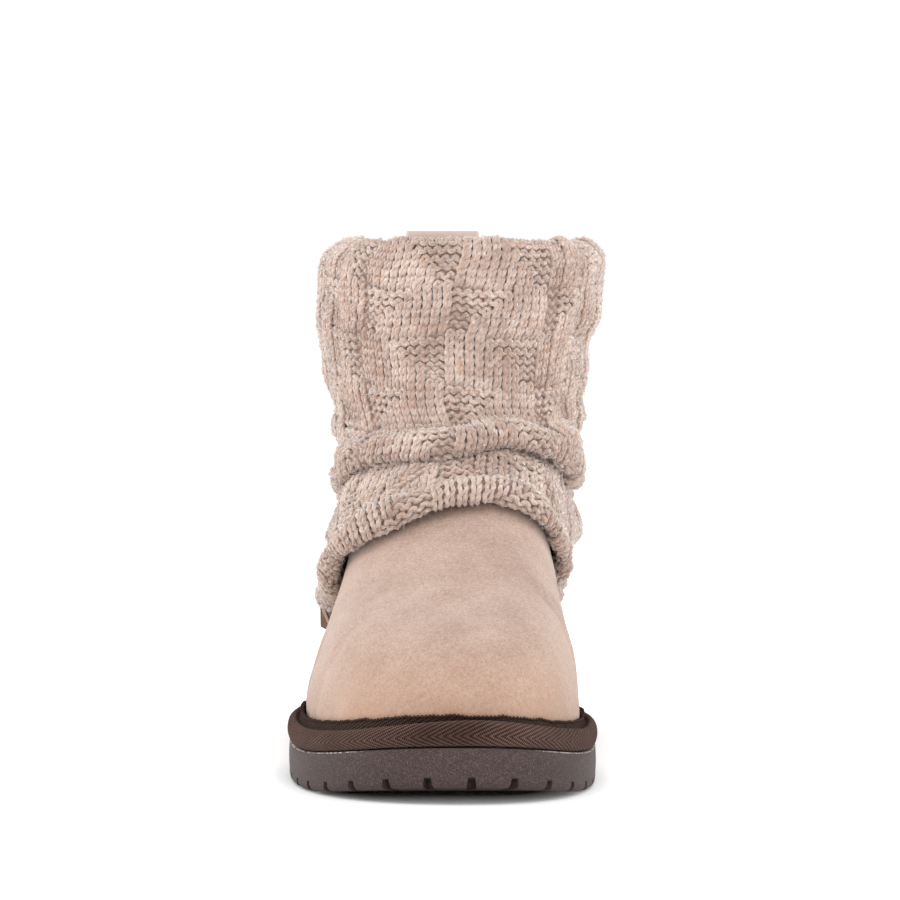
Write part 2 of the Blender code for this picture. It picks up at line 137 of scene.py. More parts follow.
def axes(tree, vector):
    """The coordinates of a vector, by their letter."""
    return add(tree, "ShaderNodeSeparateXYZ", {0: vector}).outputs


print("node helpers ready")

# %% Places and colours for nodes


def place_vector(tree):
    """The point of the surface in the object's own coordinates."""
    return add(tree, "ShaderNodeTexCoord").outputs["Object"]


def surface_vector(tree):
    """The piece's own UV map."""
    return add(tree, "ShaderNodeUVMap", uv_map="surface").outputs["UV"]


def shade(red, green, blue):
    """A colour picked as 0 to 255 display values, as the linear colour that a shader takes."""
    encoded = np.array([red, green, blue]) / 255
    linear = np.where(encoded <= 0.04045, encoded / 12.92, ((encoded + 0.055) / 1.055) ** 2.4)
    return (*[float(value) for value in linear], 1.0)


print("a mid grey is", round(shade(128, 128, 128)[0], 3), "to a shader")

# %% [markdown]
# ## Camera and studio
#
# The boot was looked at from the front, a little from above, through a long lens. The lens and the
# distance were worked out from how the lines of the sole converge. The studio is a pale floor under
# an even white sky, with a soft panel on each side, one overhead and one in front. A sky alone would
# light every fold alike, and the panels give the vamp and the knit their soft shape.

# %% Camera
AIM = np.array([0.0002, 0.0, 0.1070])
DISTANCE, LOOK_DOWN = 2.6, math.radians(4.0)
SENSOR_WIDTH, FOCAL_LENGTH, FAR_CLIP = 36.0, 302.6, 100.0
camera_data = bpy.data.cameras.new("camera")
camera_data.sensor_width = SENSOR_WIDTH
camera_data.lens = FOCAL_LENGTH
camera_data.clip_end = FAR_CLIP
camera = bpy.data.objects.new("camera", camera_data)
camera.location = AIM + DISTANCE * np.array([0.0, -math.cos(LOOK_DOWN), math.sin(LOOK_DOWN)])
camera.rotation_euler = (math.pi / 2 - LOOK_DOWN, 0.0, 0.0)
bpy.context.scene.collection.objects.link(camera)
bpy.context.scene.camera = camera
print("camera at", [round(value, 3) for value in camera.location])

# %% Sky, whiter to the camera than it is as a light
SKY_SEEN, SKY_LIGHT, WHITE = 1.02, 0.62, (1.0, 1.0, 1.0, 1.0)
world = bpy.data.worlds.new("studio")
world.use_nodes = True
sky = world.node_tree
lighting = sky.nodes["Background"]
lighting.inputs["Color"].default_value = WHITE
lighting.inputs["Strength"].default_value = SKY_LIGHT
backdrop = add(sky, "ShaderNodeBackground", {"Color": WHITE, "Strength": SKY_SEEN})
seen = add(sky, "ShaderNodeLightPath").outputs["Is Camera Ray"]
either = add(sky, "ShaderNodeMixShader", {0: seen, 1: lighting.outputs[0], 2: backdrop.outputs[0]})
sky.links.new(either.outputs[0], sky.nodes["World Output"].inputs["Surface"])
bpy.context.scene.world = world
bpy.context.scene.view_settings.view_transform = "Standard"
print("sky", SKY_LIGHT, "as light and", SKY_SEEN, "as seen")

# %% Soft panels: name, place, width in metres, power in watts
PANELS = [
    ("panel_outer_side", (-1.5, 0.15, 0.75), 1.0, 13.0),
    ("panel_inner_side", (1.5, 0.15, 0.70), 1.0, 8.5),
    ("panel_overhead", (0.0, -0.90, 1.6), 1.2, 13.5),
    ("panel_front", (0.4, -2.4, 0.9), 1.2, 15.0),
]


def soft_panel(name, place, size, power):
    """A square light that faces the boot from a place."""
    data = bpy.data.lights.new(name, "AREA")
    data.size = size
    data.energy = power
    panel = bpy.data.objects.new(name, data)
    towards = AIM - np.array(place)
    level = math.hypot(towards[0], towards[1])
    panel.location = place
    panel.rotation_euler = (math.atan2(level, -towards[2]), 0.0, math.atan2(-towards[0], towards[1]))
    bpy.context.scene.collection.objects.link(panel)


for panel_values in PANELS:
    soft_panel(*panel_values)
print(len(PANELS), "soft panels")

# %% [markdown]
# ## Helpers for surfaces
#
# A shape here is a grid: rows and columns of points, computed as whole arrays. One helper turns any
# grid into a mesh, closing it round where it should be closed, and gives each face corner a UV that
# counts rows and columns, so that a weave can follow the surface. Faces must point outwards. For a
# closed mesh the sign of its volume says whether they do.

# %% Mesh from points and faces


def signed_volume(points, faces):
    """Sum over the faces' triangles of the volume each spans with the origin: positive if outward."""
    total = 0.0
    for k in range(1, faces.shape[1] - 1):
        a, b, c = points[faces[:, 0]], points[faces[:, k]], points[faces[:, k + 1]]
        total += float(np.sum(a * np.cross(b, c))) / 6
    return total


def mesh_object(name, points, faces, corner_uv=None, material=None, slot=None, flip=None):
    """An object at the origin with its place in its mesh, its faces turned outwards if it is closed."""
    points = np.asarray(points, float).reshape(-1, 3)
    if flip is None:
        flip = signed_volume(points, faces) < 0
    if flip:
        faces = faces[:, ::-1]
        corner_uv = None if corner_uv is None else corner_uv[:, ::-1]
    mesh = bpy.data.meshes.new(name)
    mesh.vertices.add(len(points))
    mesh.vertices.foreach_set("co", points.astype(np.float32).ravel())
    mesh.loops.add(faces.size)
    mesh.loops.foreach_set("vertex_index", faces.astype(np.int32).ravel())
    mesh.polygons.add(len(faces))
    mesh.polygons.foreach_set("loop_start", np.arange(0, faces.size, faces.shape[1], dtype=np.int32))
    mesh.update(calc_edges=True)
    if corner_uv is not None:
        layer = mesh.uv_layers.new(name="surface")
        layer.data.foreach_set("uv", corner_uv.astype(np.float32).ravel())
    mesh.validate()
    mesh.shade_smooth()
    if material:
        mesh.materials.append(material)
    made = bpy.data.objects.new(name, mesh)
    bpy.context.scene.collection.objects.link(made)
    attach(made, "root")
    print(name, len(points), "points,", faces.shape[0] * (faces.shape[1] - 2), "triangles")
    return made


# %% Grids


def grid_faces(rows, columns, close_rows=False, close_columns=True):
    """Quads between neighbours of a grid, with the row and column of each of their corners."""
    i, j = np.meshgrid(
        np.arange(rows if close_rows else rows - 1),
        np.arange(columns if close_columns else columns - 1),
        indexing="ij",
    )
    corner_row = np.stack([i, i, i + 1, i + 1], axis=-1).reshape(-1, 4)
    corner_column = np.stack([j, j + 1, j + 1, j], axis=-1).reshape(-1, 4)
    faces = (corner_row % rows) * columns + corner_column % columns
    return faces, corner_row, corner_column


def grid_object(name, grid, close_rows=False, close_columns=True, uv_step=(1.0, 1.0), **rest):
    """A skin over a grid of points. uv_step is the UV's growth per column and per row."""
    faces, row, column = grid_faces(*grid.shape[:2], close_rows, close_columns)
    uv = np.stack([column * uv_step[0], row * uv_step[1]], axis=-1)
    return mesh_object(name, grid, faces, uv, **rest)


print("a plain grid of 3 by 4 points has", len(grid_faces(3, 4, close_columns=False)[0]), "quads")

# %% Small tools for arrays


def ease(t):
    """Smooth step from 0 to 1: three times the square less twice the cube."""
    t = np.clip(t, 0.0, 1.0)
    return t * t * (3 - 2 * t)


def unit(vectors):
    """Vectors over their own length."""
    return vectors / np.maximum(np.linalg.norm(vectors, axis=-1, keepdims=True), 1e-12)


def lattice_noise(points, size, seed=0):
    """Smooth noise from -1 to 1: each corner of a cubic lattice gets a number hashed from its three
    integers, and a point blends the eight corners round it."""
    spot = np.asarray(points) / size
    base = np.floor(spot).astype(np.int64)
    share = ease(spot - base)
    total = np.zeros(spot.shape[:-1])
    for corner in np.ndindex(2, 2, 2):
        whole = base + np.array(corner)
        mixed = (whole * np.array([73856093, 19349663, 83492791])).astype(np.int64)
        hashed = mixed[..., 0] ^ mixed[..., 1] ^ mixed[..., 2] ^ (seed * 2654435761)
        hashed = ((hashed ^ (hashed >> 13)) * 1274126177) & 0xFFFFFFFF
        value = ((hashed ^ (hashed >> 15)) & 0xFFFF) / 32767.5 - 1
        total += value * np.prod(np.where(np.array(corner) == 1, share, 1 - share), axis=-1)
    return total


def rough(points, *layers):
    """Sum of smooth noises, each given by its height, size and seed."""
    return sum(height * lattice_noise(points, size, seed) for height, size, seed in layers)


print("a quarter of the way along, the smooth step has risen to", round(float(ease(0.25)), 3))

# %% Tools for lines of points


def run_along(points):
    """Distance along a polyline to each of its points."""
    return np.concatenate([[0], np.cumsum(np.linalg.norm(np.diff(points, axis=0), axis=1))])


def closed_path(points):
    """A closed loop with its first point again at its end, and the distance along it to each point."""
    closed = np.vstack([points, points[:1]])
    return closed, run_along(closed)


def read_along(run, values, wanted):
    """Rows of values at wanted distances, on straight lines between the distances in run."""
    return np.stack([np.interp(wanted, run, column) for column in values.T], axis=-1)


def averaged(line, passes):
    """A line whose points are averaged with their neighbours a few times, which rounds its corners."""
    for _ in range(passes):
        line[1:-1] = line[1:-1] / 2 + (line[:-2] + line[2:]) / 4
    return line


square_run = closed_path(np.array([[0.0, 0.0], [1.0, 0.0], [1.0, 1.0], [0.0, 1.0]]))[1]
print("round a unit square it is", square_run[-1])

# %% [markdown]
# ## The last
#
# A shoe is built round a last, and so is this one. The last is a table of eleven level sections from
# the feather line, where the upper meets the sole, to the collar. Each section is a closed loop: two
# superellipse ends joined by blended side widths. Sections between the rows come from a smooth curve
# through the table, so that the suede can be drawn as finely as it needs.

# %% Sole heights
SOLE_LENGTH, FORE_THICKNESS, HEEL_THICKNESS = 0.268, 0.0130, 0.0180
TOE_SPRING, SPRING_START = 0.0062, 0.056
SOLE_MARGIN, FIT_GAP, UPPER_WALL = 0.0056, 0.0003, 0.0030
COLLAR_FRONT, COLLAR_BACK = 0.1785, 0.1715
BEVEL_RISE, BEVEL, ARCH_RISE, ARCH_START, ARCH = 0.0020, 0.014, 0.0020, 0.118, 0.068
RAMP_START, RAMP = 0.095, 0.095


def sole_floor(y):
    """Height of the tread: flat under heel and ball, up at the toe, the arch and the heel's edge."""
    toe = TOE_SPRING * np.clip((SPRING_START - y) / SPRING_START, 0, 1) ** 2
    heel = BEVEL_RISE * np.clip((y - SOLE_LENGTH + BEVEL) / BEVEL, 0, 1) ** 2
    return toe + heel + ARCH_RISE * np.sin(math.pi * np.clip((y - ARCH_START) / ARCH, 0, 1)) ** 2


def sole_deck(y):
    """Height of the sole's top face, on which upper, insole and binding stand."""
    toe = TOE_SPRING * np.clip((SPRING_START - y) / SPRING_START, 0, 1) ** 2
    ramp = ease((y - RAMP_START) / RAMP)
    return toe + FORE_THICKNESS + (HEEL_THICKNESS - FORE_THICKNESS) * ramp


print("the deck is", round(float(sole_deck(SOLE_LENGTH)) * 1000, 1), "mm up at the heel")

# %% Table of sections


class Section(NamedTuple):
    """A closed loop round the last: its front and back points, the lengths and power of its ends, the
    x of each side at fore, waist and heel, the x of its front point, and how far it follows the deck."""

    front_y: float
    front_z: float
    back_y: float
    back_z: float
    nose_in: float
    nose_out: float
    heel_round: float
    power: float
    fore_in: float
    fore_out: float
    waist_in: float
    waist_out: float
    heel_in: float
    heel_out: float
    ridge: float
    follow: float


FEATHER_FRONT = SOLE_MARGIN
LAST = np.array([
    (FEATHER_FRONT, sole_deck(FEATHER_FRONT) + FIT_GAP, SOLE_LENGTH - SOLE_MARGIN, HEEL_THICKNESS + FIT_GAP,
     .072, .090, .036, 2.50, .0420, -.0499, .0290, -.0360, .0330, -.0330, .0035, 1.0),
    (.0054, .0300, .2632, .0320, .072, .090, .037, 2.50,
     .0422, -.0494, .0295, -.0362, .0338, -.0338, .0035, .7),
    (.0088, .0410, .2640, .0440, .072, .090, .038, 2.45,
     .0408, -.0460, .0298, -.0358, .0342, -.0340, .0040, .4),
    (.0240, .0525, .2642, .0550, .070, .087, .038, 2.35,
     .0374, -.0414, .0305, -.0352, .0344, -.0342, .0060, .15),
    (.0560, .0635, .2636, .0660, .068, .080, .039, 2.20,
     .0350, -.0374, .0322, -.0348, .0346, -.0340, .0085, 0),
    (.0900, .0760, .2624, .0770, .056, .064, .041, 2.10,
     .0325, -.0350, .0335, -.0346, .0350, -.0338, .0105, 0),
    (.1200, .0900, .2604, .0900, .048, .053, .044, 2.05,
     .0335, -.0342, .0352, -.0340, .0358, -.0334, .0100, 0),
    (.1405, .1060, .2586, .1060, .050, .050, .048, 2.00,
     .0368, -.0344, .0370, -.0344, .0366, -.0340, .0065, 0),
    (.1500, .1260, .2582, .1260, .052, .052, .051, 2.00,
     .0390, -.0377, .0390, -.0377, .0388, -.0375, .0030, 0),
    (.1520, .1510, .2588, .1500, .053, .053, .053, 2.00,
     .0448, -.0408, .0448, -.0408, .0448, -.0408, .0035, 0),
    (.1505, COLLAR_FRONT, .2610, COLLAR_BACK, .055, .055, .055, 2.00,
     .0480, -.0412, .0480, -.0412, .0480, -.0412, .0045, 0),
])
TOP_LEVEL = len(LAST) - 1
print("last of", len(LAST), "sections")

# %% Sections between the rows
OUTLINE_POINTS, HEEL_POWER = 400, 2.2


def section_at(level):
    """The last's section at a level between two rows, on a Hermite curve through the table."""
    k = min(int(level), TOP_LEVEL - 1)
    t = level - k
    before, a, b, after = LAST[max(k - 1, 0)], LAST[k], LAST[k + 1], LAST[min(k + 2, TOP_LEVEL)]
    leave = b - a if k == 0 else (b - before) / 2
    arrive = b - a if k == TOP_LEVEL - 1 else (after - a) / 2
    held = (2 * t**3 - 3 * t**2 + 1) * a + (3 * t**2 - 2 * t**3) * b
    return Section(*(held + (t**3 - 2 * t**2 + t) * leave + (t**3 - t**2) * arrive))


def half_outline(s, nose, fore, waist, heel):
    """One side of a section: its blended width, times the share that the two superellipse ends leave."""
    y = s.front_y + (s.back_y - s.front_y) * (1 - np.cos(np.linspace(0, math.pi, OUTLINE_POINTS))) / 2
    nose_end, heel_start = s.front_y + nose, s.back_y - s.heel_round
    middle = (nose_end + heel_start) / 2
    width = fore + (waist - fore) * ease((y - nose_end) / max(middle - nose_end, 1e-6))
    width = width + (heel - waist) * ease((y - middle) / max(heel_start - middle, 1e-6))
    end = np.where(y < middle, s.ridge, (s.heel_in + s.heel_out) / 2)
    front = np.clip(1 - (y - s.front_y) / nose, 0, 1)
    back = np.clip(1 - (s.back_y - y) / s.heel_round, 0, 1)
    share = (1 - front**s.power) ** (1 / s.power) * (1 - back**HEEL_POWER) ** (1 / HEEL_POWER)
    along = (y - s.front_y) / (s.back_y - s.front_y)
    deck_line = sole_deck(s.front_y) + (sole_deck(s.back_y) - sole_deck(s.front_y)) * along
    z = s.front_z + (s.back_z - s.front_z) * along + s.follow * (sole_deck(y) - deck_line)
    return np.stack([end + (width - end) * share, y, z], axis=1)


print("half way up, the last's front is at y", round(float(section_at(TOP_LEVEL / 2).front_y), 4))

# %% Loops round the last


def spaced(points, count):
    """The polyline at count + 1 points spaced evenly along it."""
    run = run_along(points)
    return read_along(run, points, np.linspace(0, run[-1], count + 1))


def loop_of(s, count):
    """A section as a closed loop: from the front along the inner side to the heel, and back."""
    inner = spaced(half_outline(s, s.nose_in, s.fore_in, s.waist_in, s.heel_in), count // 2)
    outer = spaced(half_outline(s, s.nose_out, s.fore_out, s.waist_out, s.heel_out), count // 2)
    return np.concatenate([inner, outer[1:-1][::-1]])


def flat_normals(loop):
    """Unit vectors that point out of a closed loop, level with the floor."""
    along = np.roll(loop, -1, axis=0) - np.roll(loop, 1, axis=0)
    out = unit(np.stack([along[:, 1], -along[:, 0], np.zeros(len(loop))], axis=1))
    return out * np.sign(np.sum(out * (loop - loop.mean(axis=0))))


def widened(loop, distance):
    """The loop moved outwards by a distance, level with the floor."""
    return loop + flat_normals(loop) * np.reshape(distance, (-1, 1))


def sole_edge(count):
    """Outline of the sole: the feather line moved out by the sole's margin."""
    return widened(loop_of(section_at(0), count), SOLE_MARGIN)


def grid_normals(grid):
    """Unit normals of a grid of closed rings, from the cross product of its two directions."""
    across = np.roll(grid, -1, axis=1) - np.roll(grid, 1, axis=1)
    normal = unit(np.cross(across, np.gradient(grid, axis=0)))
    return normal * np.sign(np.sum(normal * (grid - grid.mean(axis=1)[:, None, :])))


# The last starts at the sole's toe tip, and the frame has its origin under the middle of the boot
MOVE = np.array(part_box("outsole")[0]) - sole_edge(88).min(axis=0)
MOVE[2] = 0.0
print("last to frame", MOVE.round(5))

# %% [markdown]
# ## Finishes: shared node groups
#
# Suede, knit, tape, foam and leather all vary over the surface in the same few ways: broad mottling,
# fine grain, and thin streaks along fibres. Each of these is one node group with named inputs, built
# once and placed in every material that needs it with that material's own values. A group gives only
# colours and heights. The shader and its constants stay in the material.

# %% Groups and materials


def new_group(name, takes, gives):
    """An empty group with sockets, as (tree, input node, output node)."""
    tree = bpy.data.node_groups.new(name, "ShaderNodeTree")
    for label, kind, value in takes:
        socket = tree.interface.new_socket(label, in_out="INPUT", socket_type="NodeSocket" + kind)
        if value is not None:
            socket.default_value = value
    for label, kind in gives:
        tree.interface.new_socket(label, in_out="OUTPUT", socket_type="NodeSocket" + kind)
    return tree, tree.nodes.new("NodeGroupInput"), tree.nodes.new("NodeGroupOutput")


def start_material(name, roughness, **constants):
    """A Principled material with its constants set on the shader, as (material, tree)."""
    made = bpy.data.materials.new(name)
    made.use_nodes = True
    sockets = made.node_tree.nodes["Principled BSDF"].inputs
    sockets["Roughness"].default_value = roughness
    for label, value in constants.items():
        sockets[label.replace("_", " ")].default_value = value
    return made, made.node_tree


def finish_material(made, colour, height=None, strength=0.5, distance=0.0005):
    """Links the colour, and an optional height through one Bump node."""
    tree = made.node_tree
    sockets = tree.nodes["Principled BSDF"].inputs
    tree.links.new(colour, sockets["Base Color"])
    if height is not None:
        bump = {"Strength": strength, "Distance": distance, "Height": height}
        tree.links.new(add(tree, "ShaderNodeBump", bump).outputs["Normal"], sockets["Normal"])
    print("material", made.name, "with", len(tree.nodes), "nodes")


print("group and material helpers ready")


# %% Group: mottling, broad clouds of two colours over finer ones
MOTTLE, takes, gives = new_group(
    "mottle",
    [("Vector", "Vector", None), ("Dark", "Color", (0, 0, 0, 1)), ("Light", "Color", (1, 1, 1, 1)),
     ("Broad Scale", "Float", 20.0), ("Fine Scale", "Float", 200.0), ("Contrast", "Float", 1.0)],
    [("Color", "Color")],
)
taken = takes.outputs
broad = noise(MOTTLE, taken["Vector"], taken["Broad Scale"], 3.0, 0.55)
fine = noise(MOTTLE, taken["Vector"], taken["Fine Scale"], 4.0, 0.65)
both = plus(MOTTLE, times(MOTTLE, broad, 0.6), times(MOTTLE, fine, 0.4))
spread = times(MOTTLE, calc(MOTTLE, "SUBTRACT", both, 0.5), taken["Contrast"])
factor = add(MOTTLE, "ShaderNodeClamp", {"Value": plus(MOTTLE, spread, 0.5)}).outputs[0]
mixed = blend_colours(MOTTLE, factor, taken["Dark"], taken["Light"])
MOTTLE.links.new(mixed, gives.inputs["Color"])
print("group", MOTTLE.name, "with", len(MOTTLE.nodes), "nodes")


def mottled(tree, where, broad, fine, contrast, dark, light):
    """The mottling group in a material: two scales, a contrast and two display colours."""
    clouds = {"Vector": where, "Broad Scale": broad, "Fine Scale": fine, "Contrast": contrast}
    clouds.update({"Dark": shade(*dark), "Light": shade(*light)})
    return add(tree, "ShaderNodeGroup", clouds, node_tree=MOTTLE).outputs["Color"]


# %% Group: nap, a fine grain whose height comes from two sizes of noise
NAP, takes, gives = new_group(
    "nap",
    [("Vector", "Vector", None), ("Scale", "Float", 1500.0), ("Coarse Share", "Float", 0.4)],
    [("Height", "Float")],
)
TUFT_SCALE = 0.22
taken = takes.outputs
hairs = noise(NAP, taken["Vector"], taken["Scale"], 3.0, 0.7)
tufts = noise(NAP, taken["Vector"], times(NAP, taken["Scale"], TUFT_SCALE), 2.0, 0.5)
NAP.links.new(plus(NAP, hairs, times(NAP, tufts, taken["Coarse Share"])), gives.inputs["Height"])
print("group", NAP.name, "with", len(NAP.nodes), "nodes")


def nap(tree, where, scale, coarse_share):
    """The nap group in a material, as a height."""
    values = {"Vector": where, "Scale": scale, "Coarse Share": coarse_share}
    return add(tree, "ShaderNodeGroup", values, node_tree=NAP).outputs["Height"]


# %% Group: fibres, thin streaks that run along a yarn or thread, with strands laid at a slant
FIBRES, takes, gives = new_group(
    "fibres",
    [("Vector", "Vector", None), ("Streak Scale", "Float", 1.0), ("Ply Turns", "Float", 1.0),
     ("Ply Slant", "Float", 1.0)],
    [("Streaks", "Float"), ("Plies", "Float")],
)
STREAK_STRETCH = (0.35, 9.0, 1.0)
taken = takes.outputs
stretched = add(FIBRES, "ShaderNodeMapping", {"Vector": taken["Vector"], "Scale": STREAK_STRETCH})
streaks = noise(FIBRES, stretched.outputs[0], taken["Streak Scale"], 3.0, 0.6)
parts = axes(FIBRES, taken["Vector"])
slant = times(FIBRES, parts["X"], taken["Ply Slant"])
turn = plus(FIBRES, times(FIBRES, parts["Y"], taken["Ply Turns"]), slant)
plies = calc(FIBRES, "ABSOLUTE", calc(FIBRES, "SINE", times(FIBRES, turn, math.pi)))
FIBRES.links.new(streaks, gives.inputs["Streaks"])
FIBRES.links.new(plies, gives.inputs["Plies"])
print("group", FIBRES.name, "with", len(FIBRES.nodes), "nodes")


def spun(tree, streak_scale, turns, slant):
    """The fibres group over a yarn's own UV, as its two outputs."""
    values = {"Vector": surface_vector(tree), "Streak Scale": streak_scale}
    values.update({"Ply Turns": turns, "Ply Slant": slant})
    return add(tree, "ShaderNodeGroup", values, node_tree=FIBRES).outputs


# %% [markdown]
# ## Suede and fleece finishes
#
# The upper is a brushed microfibre suede: no gloss, a short nap that pales where it is seen edge on,
# and soft clouds where a hand has turned the nap. Sheen gives the pale edges, a very fine bump the
# nap, and the mottling the clouds. Flecks, light and dark, are the cut ends of its fibres. A darker,
# browner patch low on the toe front is painted shade, because that face gets less light from above,
# together with a browner tone. The lining is a curly pile, so its bump is much coarser.

# %% Suede
suede, tree = start_material(
    "suede", 0.92, Sheen_Weight=0.35, Sheen_Roughness=0.45, Sheen_Tint=(1.0, 0.93, 0.88, 1.0),
    Specular_IOR_Level=0.15,
)
where = place_vector(tree)
colour = mottled(tree, where, 60.0, 500.0, 2.1, (157, 128, 112), (194, 170, 156))
parts = axes(tree, where)
# Painted shade: the low front of the toe is darkened and browned, because that face gets less light from
# above.
low = remap(tree, parts["Z"], 0.058, 0.026)
low_toe_shade = times(tree, low, remap(tree, parts["Y"], -0.055, -0.115, 0.0, 0.6))
flecks = noise(tree, where, 1300.0, 3.0, 0.65)
dark_flecks = remap(tree, flecks, 0.50, 0.68, 0.0, 0.5)
colour = blend_colours(tree, dark_flecks, colour, shade(128, 98, 83))
colour = blend_colours(tree, remap(tree, flecks, 0.47, 0.30, 0.0, 0.45), colour, shade(206, 186, 174))
colour = blend_colours(tree, low_toe_shade, colour, shade(168, 132, 108))
finish_material(suede, colour, nap(tree, where, 2200.0, 0.25), 0.42, 0.0005)

# %% Fleece
fleece, tree = start_material("fleece", 1.0, Sheen_Weight=0.5, Specular_IOR_Level=0.05)
where = place_vector(tree)
colour = mottled(tree, where, 90.0, 700.0, 2.2, (176, 146, 126), (226, 206, 190))
finish_material(fleece, colour, nap(tree, where, 900.0, 1.4), 0.8, 0.0012)

# %% [markdown]
# ## Upper and lining
#
# The upper is one suede skin without a seam in front, pulled over the last and turned under at the
# sole. It could be sculpted, but the last's sections already describe it, so the skin is their grid,
# drawn finely, with the small things that a last doesn't have laid on: puckers where the
# suede is gathered into the sole seam, and shallow creases where the foot bends. The lining is a
# second wall inside it, rough with pile.

# %% Relief of the suede
RINGS, AROUND, SUEDE_THICK = 108, 256, 0.0013
levels = TOP_LEVEL * np.linspace(0, 1, RINGS)
smooth_upper = np.array([loop_of(section_at(level), AROUND) for level in levels])
upper_out = grid_normals(smooth_upper)
# each crease: its y on the middle line, how it leans with x, and its depth
CREASES = [(0.066, 0.30, 0.00055), (0.083, -0.22, 0.00045), (0.101, 0.15, 0.0004)]
CREASE_WIDTH, SWELL_PLACE, CREASE_FROM, CREASE_FADE = 0.0035, 1.9, 0.006, 0.020
PUCKERS, PUCKER_DEPTH, PUCKER_TOP, PUCKER_FADE = 61, 0.00016, 0.020, 0.012
FORE_END, FORE_FADE = 0.10, 0.05
TUCK_DEPTH, TUCK_TOP, TUCK_FADE = 0.0009, 0.0100, 0.005


def suede_relief(grid):
    """Distance out of the last: puckers fade upwards from the sole seam, each crease is a long shallow
    valley with a low swell above it, and slow noise stands for the stuffing's unevenness."""
    x, y, z = grid[..., 0], grid[..., 1], grid[..., 2]
    height = z - sole_deck(y)
    around = np.arctan2(x, FORE_END - y)
    uneven = np.sin(around * PUCKERS + 2.2 * np.sin(around * 9))
    pucker = uneven * ease((PUCKER_TOP - height) / PUCKER_FADE)
    relief = -PUCKER_DEPTH * pucker * ease((FORE_END - y) / FORE_FADE)
    for crease_y, lean, deep in CREASES:
        across = (y - crease_y - lean * x) / CREASE_WIDTH
        side = ease((np.abs(x) - CREASE_FROM) / CREASE_FADE)
        relief = relief - deep * side * (np.exp(-across**2) - 0.5 * np.exp(-((across - SWELL_PLACE) ** 2)))
    tuck = -TUCK_DEPTH * ease((TUCK_TOP - height) / TUCK_FADE)
    return relief + tuck + rough(grid, (0.00035, 0.024, 3), (0.00012, 0.009, 4))


relief = suede_relief(smooth_upper)
print("relief from", *(round(float(value) * 1000, 2) for value in (relief.min(), relief.max())), "mm")

# %% Suede skin
inward = upper_out.copy()
for end in (0, -1):
    inward[end] = flat_normals(smooth_upper[end])
outer_skin = smooth_upper + inward * relief[..., None]
inner_skin = (smooth_upper - inward * SUEDE_THICK)[::-1][::6]
skin = grid_object(
    "upper_suede",
    np.concatenate([outer_skin, inner_skin]) + MOVE,
    close_rows=True,
    material=suede,
    slot="suede",
)
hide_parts("upper")

# %% [markdown]
# ### Lining and footbed
#
# The lining is glued to the back of the suede and rolls over a little at the collar. It is the same
# grid moved inwards, with lumps of two sizes for the pile. The insole is a board with the same pile
# on top. It is drawn as rings that shrink towards its middle line, so its edge stays round.

# %% Fleece lining
LINING_FACE, LINING_ROLL = 0.0014, 0.0011
UP = np.array([0.0, 0.0, 1.0])
lining_rows = smooth_upper[::2]
lining_in = inward[::2]
pile = rough(lining_rows, (0.00055, 0.0032, 11), (0.0004, 0.0015, 12))
far_face = lining_rows - lining_in * (UPPER_WALL + pile[..., None])
near_face = (lining_rows - lining_in * LINING_FACE)[::-1][::5]
rim = []
for share in np.linspace(0.1, 0.9, 6):
    depth = UPPER_WALL + (LINING_FACE - UPPER_WALL) * share
    bump = 0.0003 * lattice_noise(lining_rows[-1], 0.002, 13)[:, None]
    rise = LINING_ROLL * math.sin(math.pi * share)
    rim.append(lining_rows[-1] - lining_in[-1] * depth + UP * (rise + bump))
grid_object(
    "fleece_lining",
    np.concatenate([far_face, np.array(rim), near_face]) + MOVE,
    close_rows=True,
    material=fleece,
    slot="fleece",
)

# %% Insole, a fleece pad on the floor of the upper
INSOLE_GAP, INSOLE_SIDE, INSOLE_TOP = 0.0009, 0.0025, 0.0049
insole_edge = widened(loop_of(section_at(0), AROUND), -UPPER_WALL - INSOLE_GAP)
middle_line = (insole_edge + insole_edge[(-np.arange(AROUND)) % AROUND]) / 2


def insole_ring(share, height):
    """The edge drawn in towards the middle line by a share, at a height over the deck."""
    ring = middle_line + (insole_edge - middle_line) * share
    ring[:, 2] = sole_deck(ring[:, 1]) + height
    return ring


rings = [insole_ring(0.0, FIT_GAP), insole_ring(0.99, FIT_GAP), insole_ring(1.0, INSOLE_SIDE)]
for share in np.linspace(0.985, 0.0, 27):
    dip = 0.0016 * ease((1 - share) / 0.5) + 0.0012 * ease((share - 0.95) / 0.05)
    ring = insole_ring(share, INSOLE_TOP - dip)
    ring[:, 2] += rough(ring, (0.0005, 0.0034, 15), (0.0003, 0.0016, 16))
    rings.append(ring)
insole = grid_object("insole_pad", np.array(rings) + MOVE, material=fleece, slot="fleece")
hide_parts("insole")

# %% [markdown]
# ## Sole binding
#
# A padded rand wrapped in dark herringbone tape runs round the whole base. It is one profile carried
# along the sole's outline: a rounded outer face, a rolled top, a stitched ditch and a lip against the
# suede. The tape's threads lie in slanted ribs that meet in a point at half height. The UV counts
# millimetres along and across the tape, so the ribs keep their size all the way round.

# %% Herringbone tape: its UV is in millimetres, along and across
SPINE, RIB_SLOPE, RIB_PERIOD, RIB_WANDER = 4.4, 2.3, 2.7, 0.8
THREAD_SLOPE, THREAD_PERIOD = 0.7, 0.80
DITCH, STROKE_SLOPE, STROKE_PERIOD = (9.9, 10.6), 0.45, 0.85
tape, tree = start_material(
    "binding_tape", 0.95, Sheen_Weight=0.18, Sheen_Roughness=0.5, Sheen_Tint=(1.0, 0.74, 0.66, 1.0),
    Specular_IOR_Level=0.03,
)
surface = surface_vector(tree)
parts = axes(tree, surface)
from_spine = distance_from(tree, parts["Y"], SPINE)
wobble = times(tree, noise(tree, surface, 0.35, 2.0), RIB_WANDER)
rib_slope = times(tree, from_spine, RIB_SLOPE)
rib = wave(tree, plus(tree, calc(tree, "SUBTRACT", parts["X"], rib_slope), wobble), RIB_PERIOD)
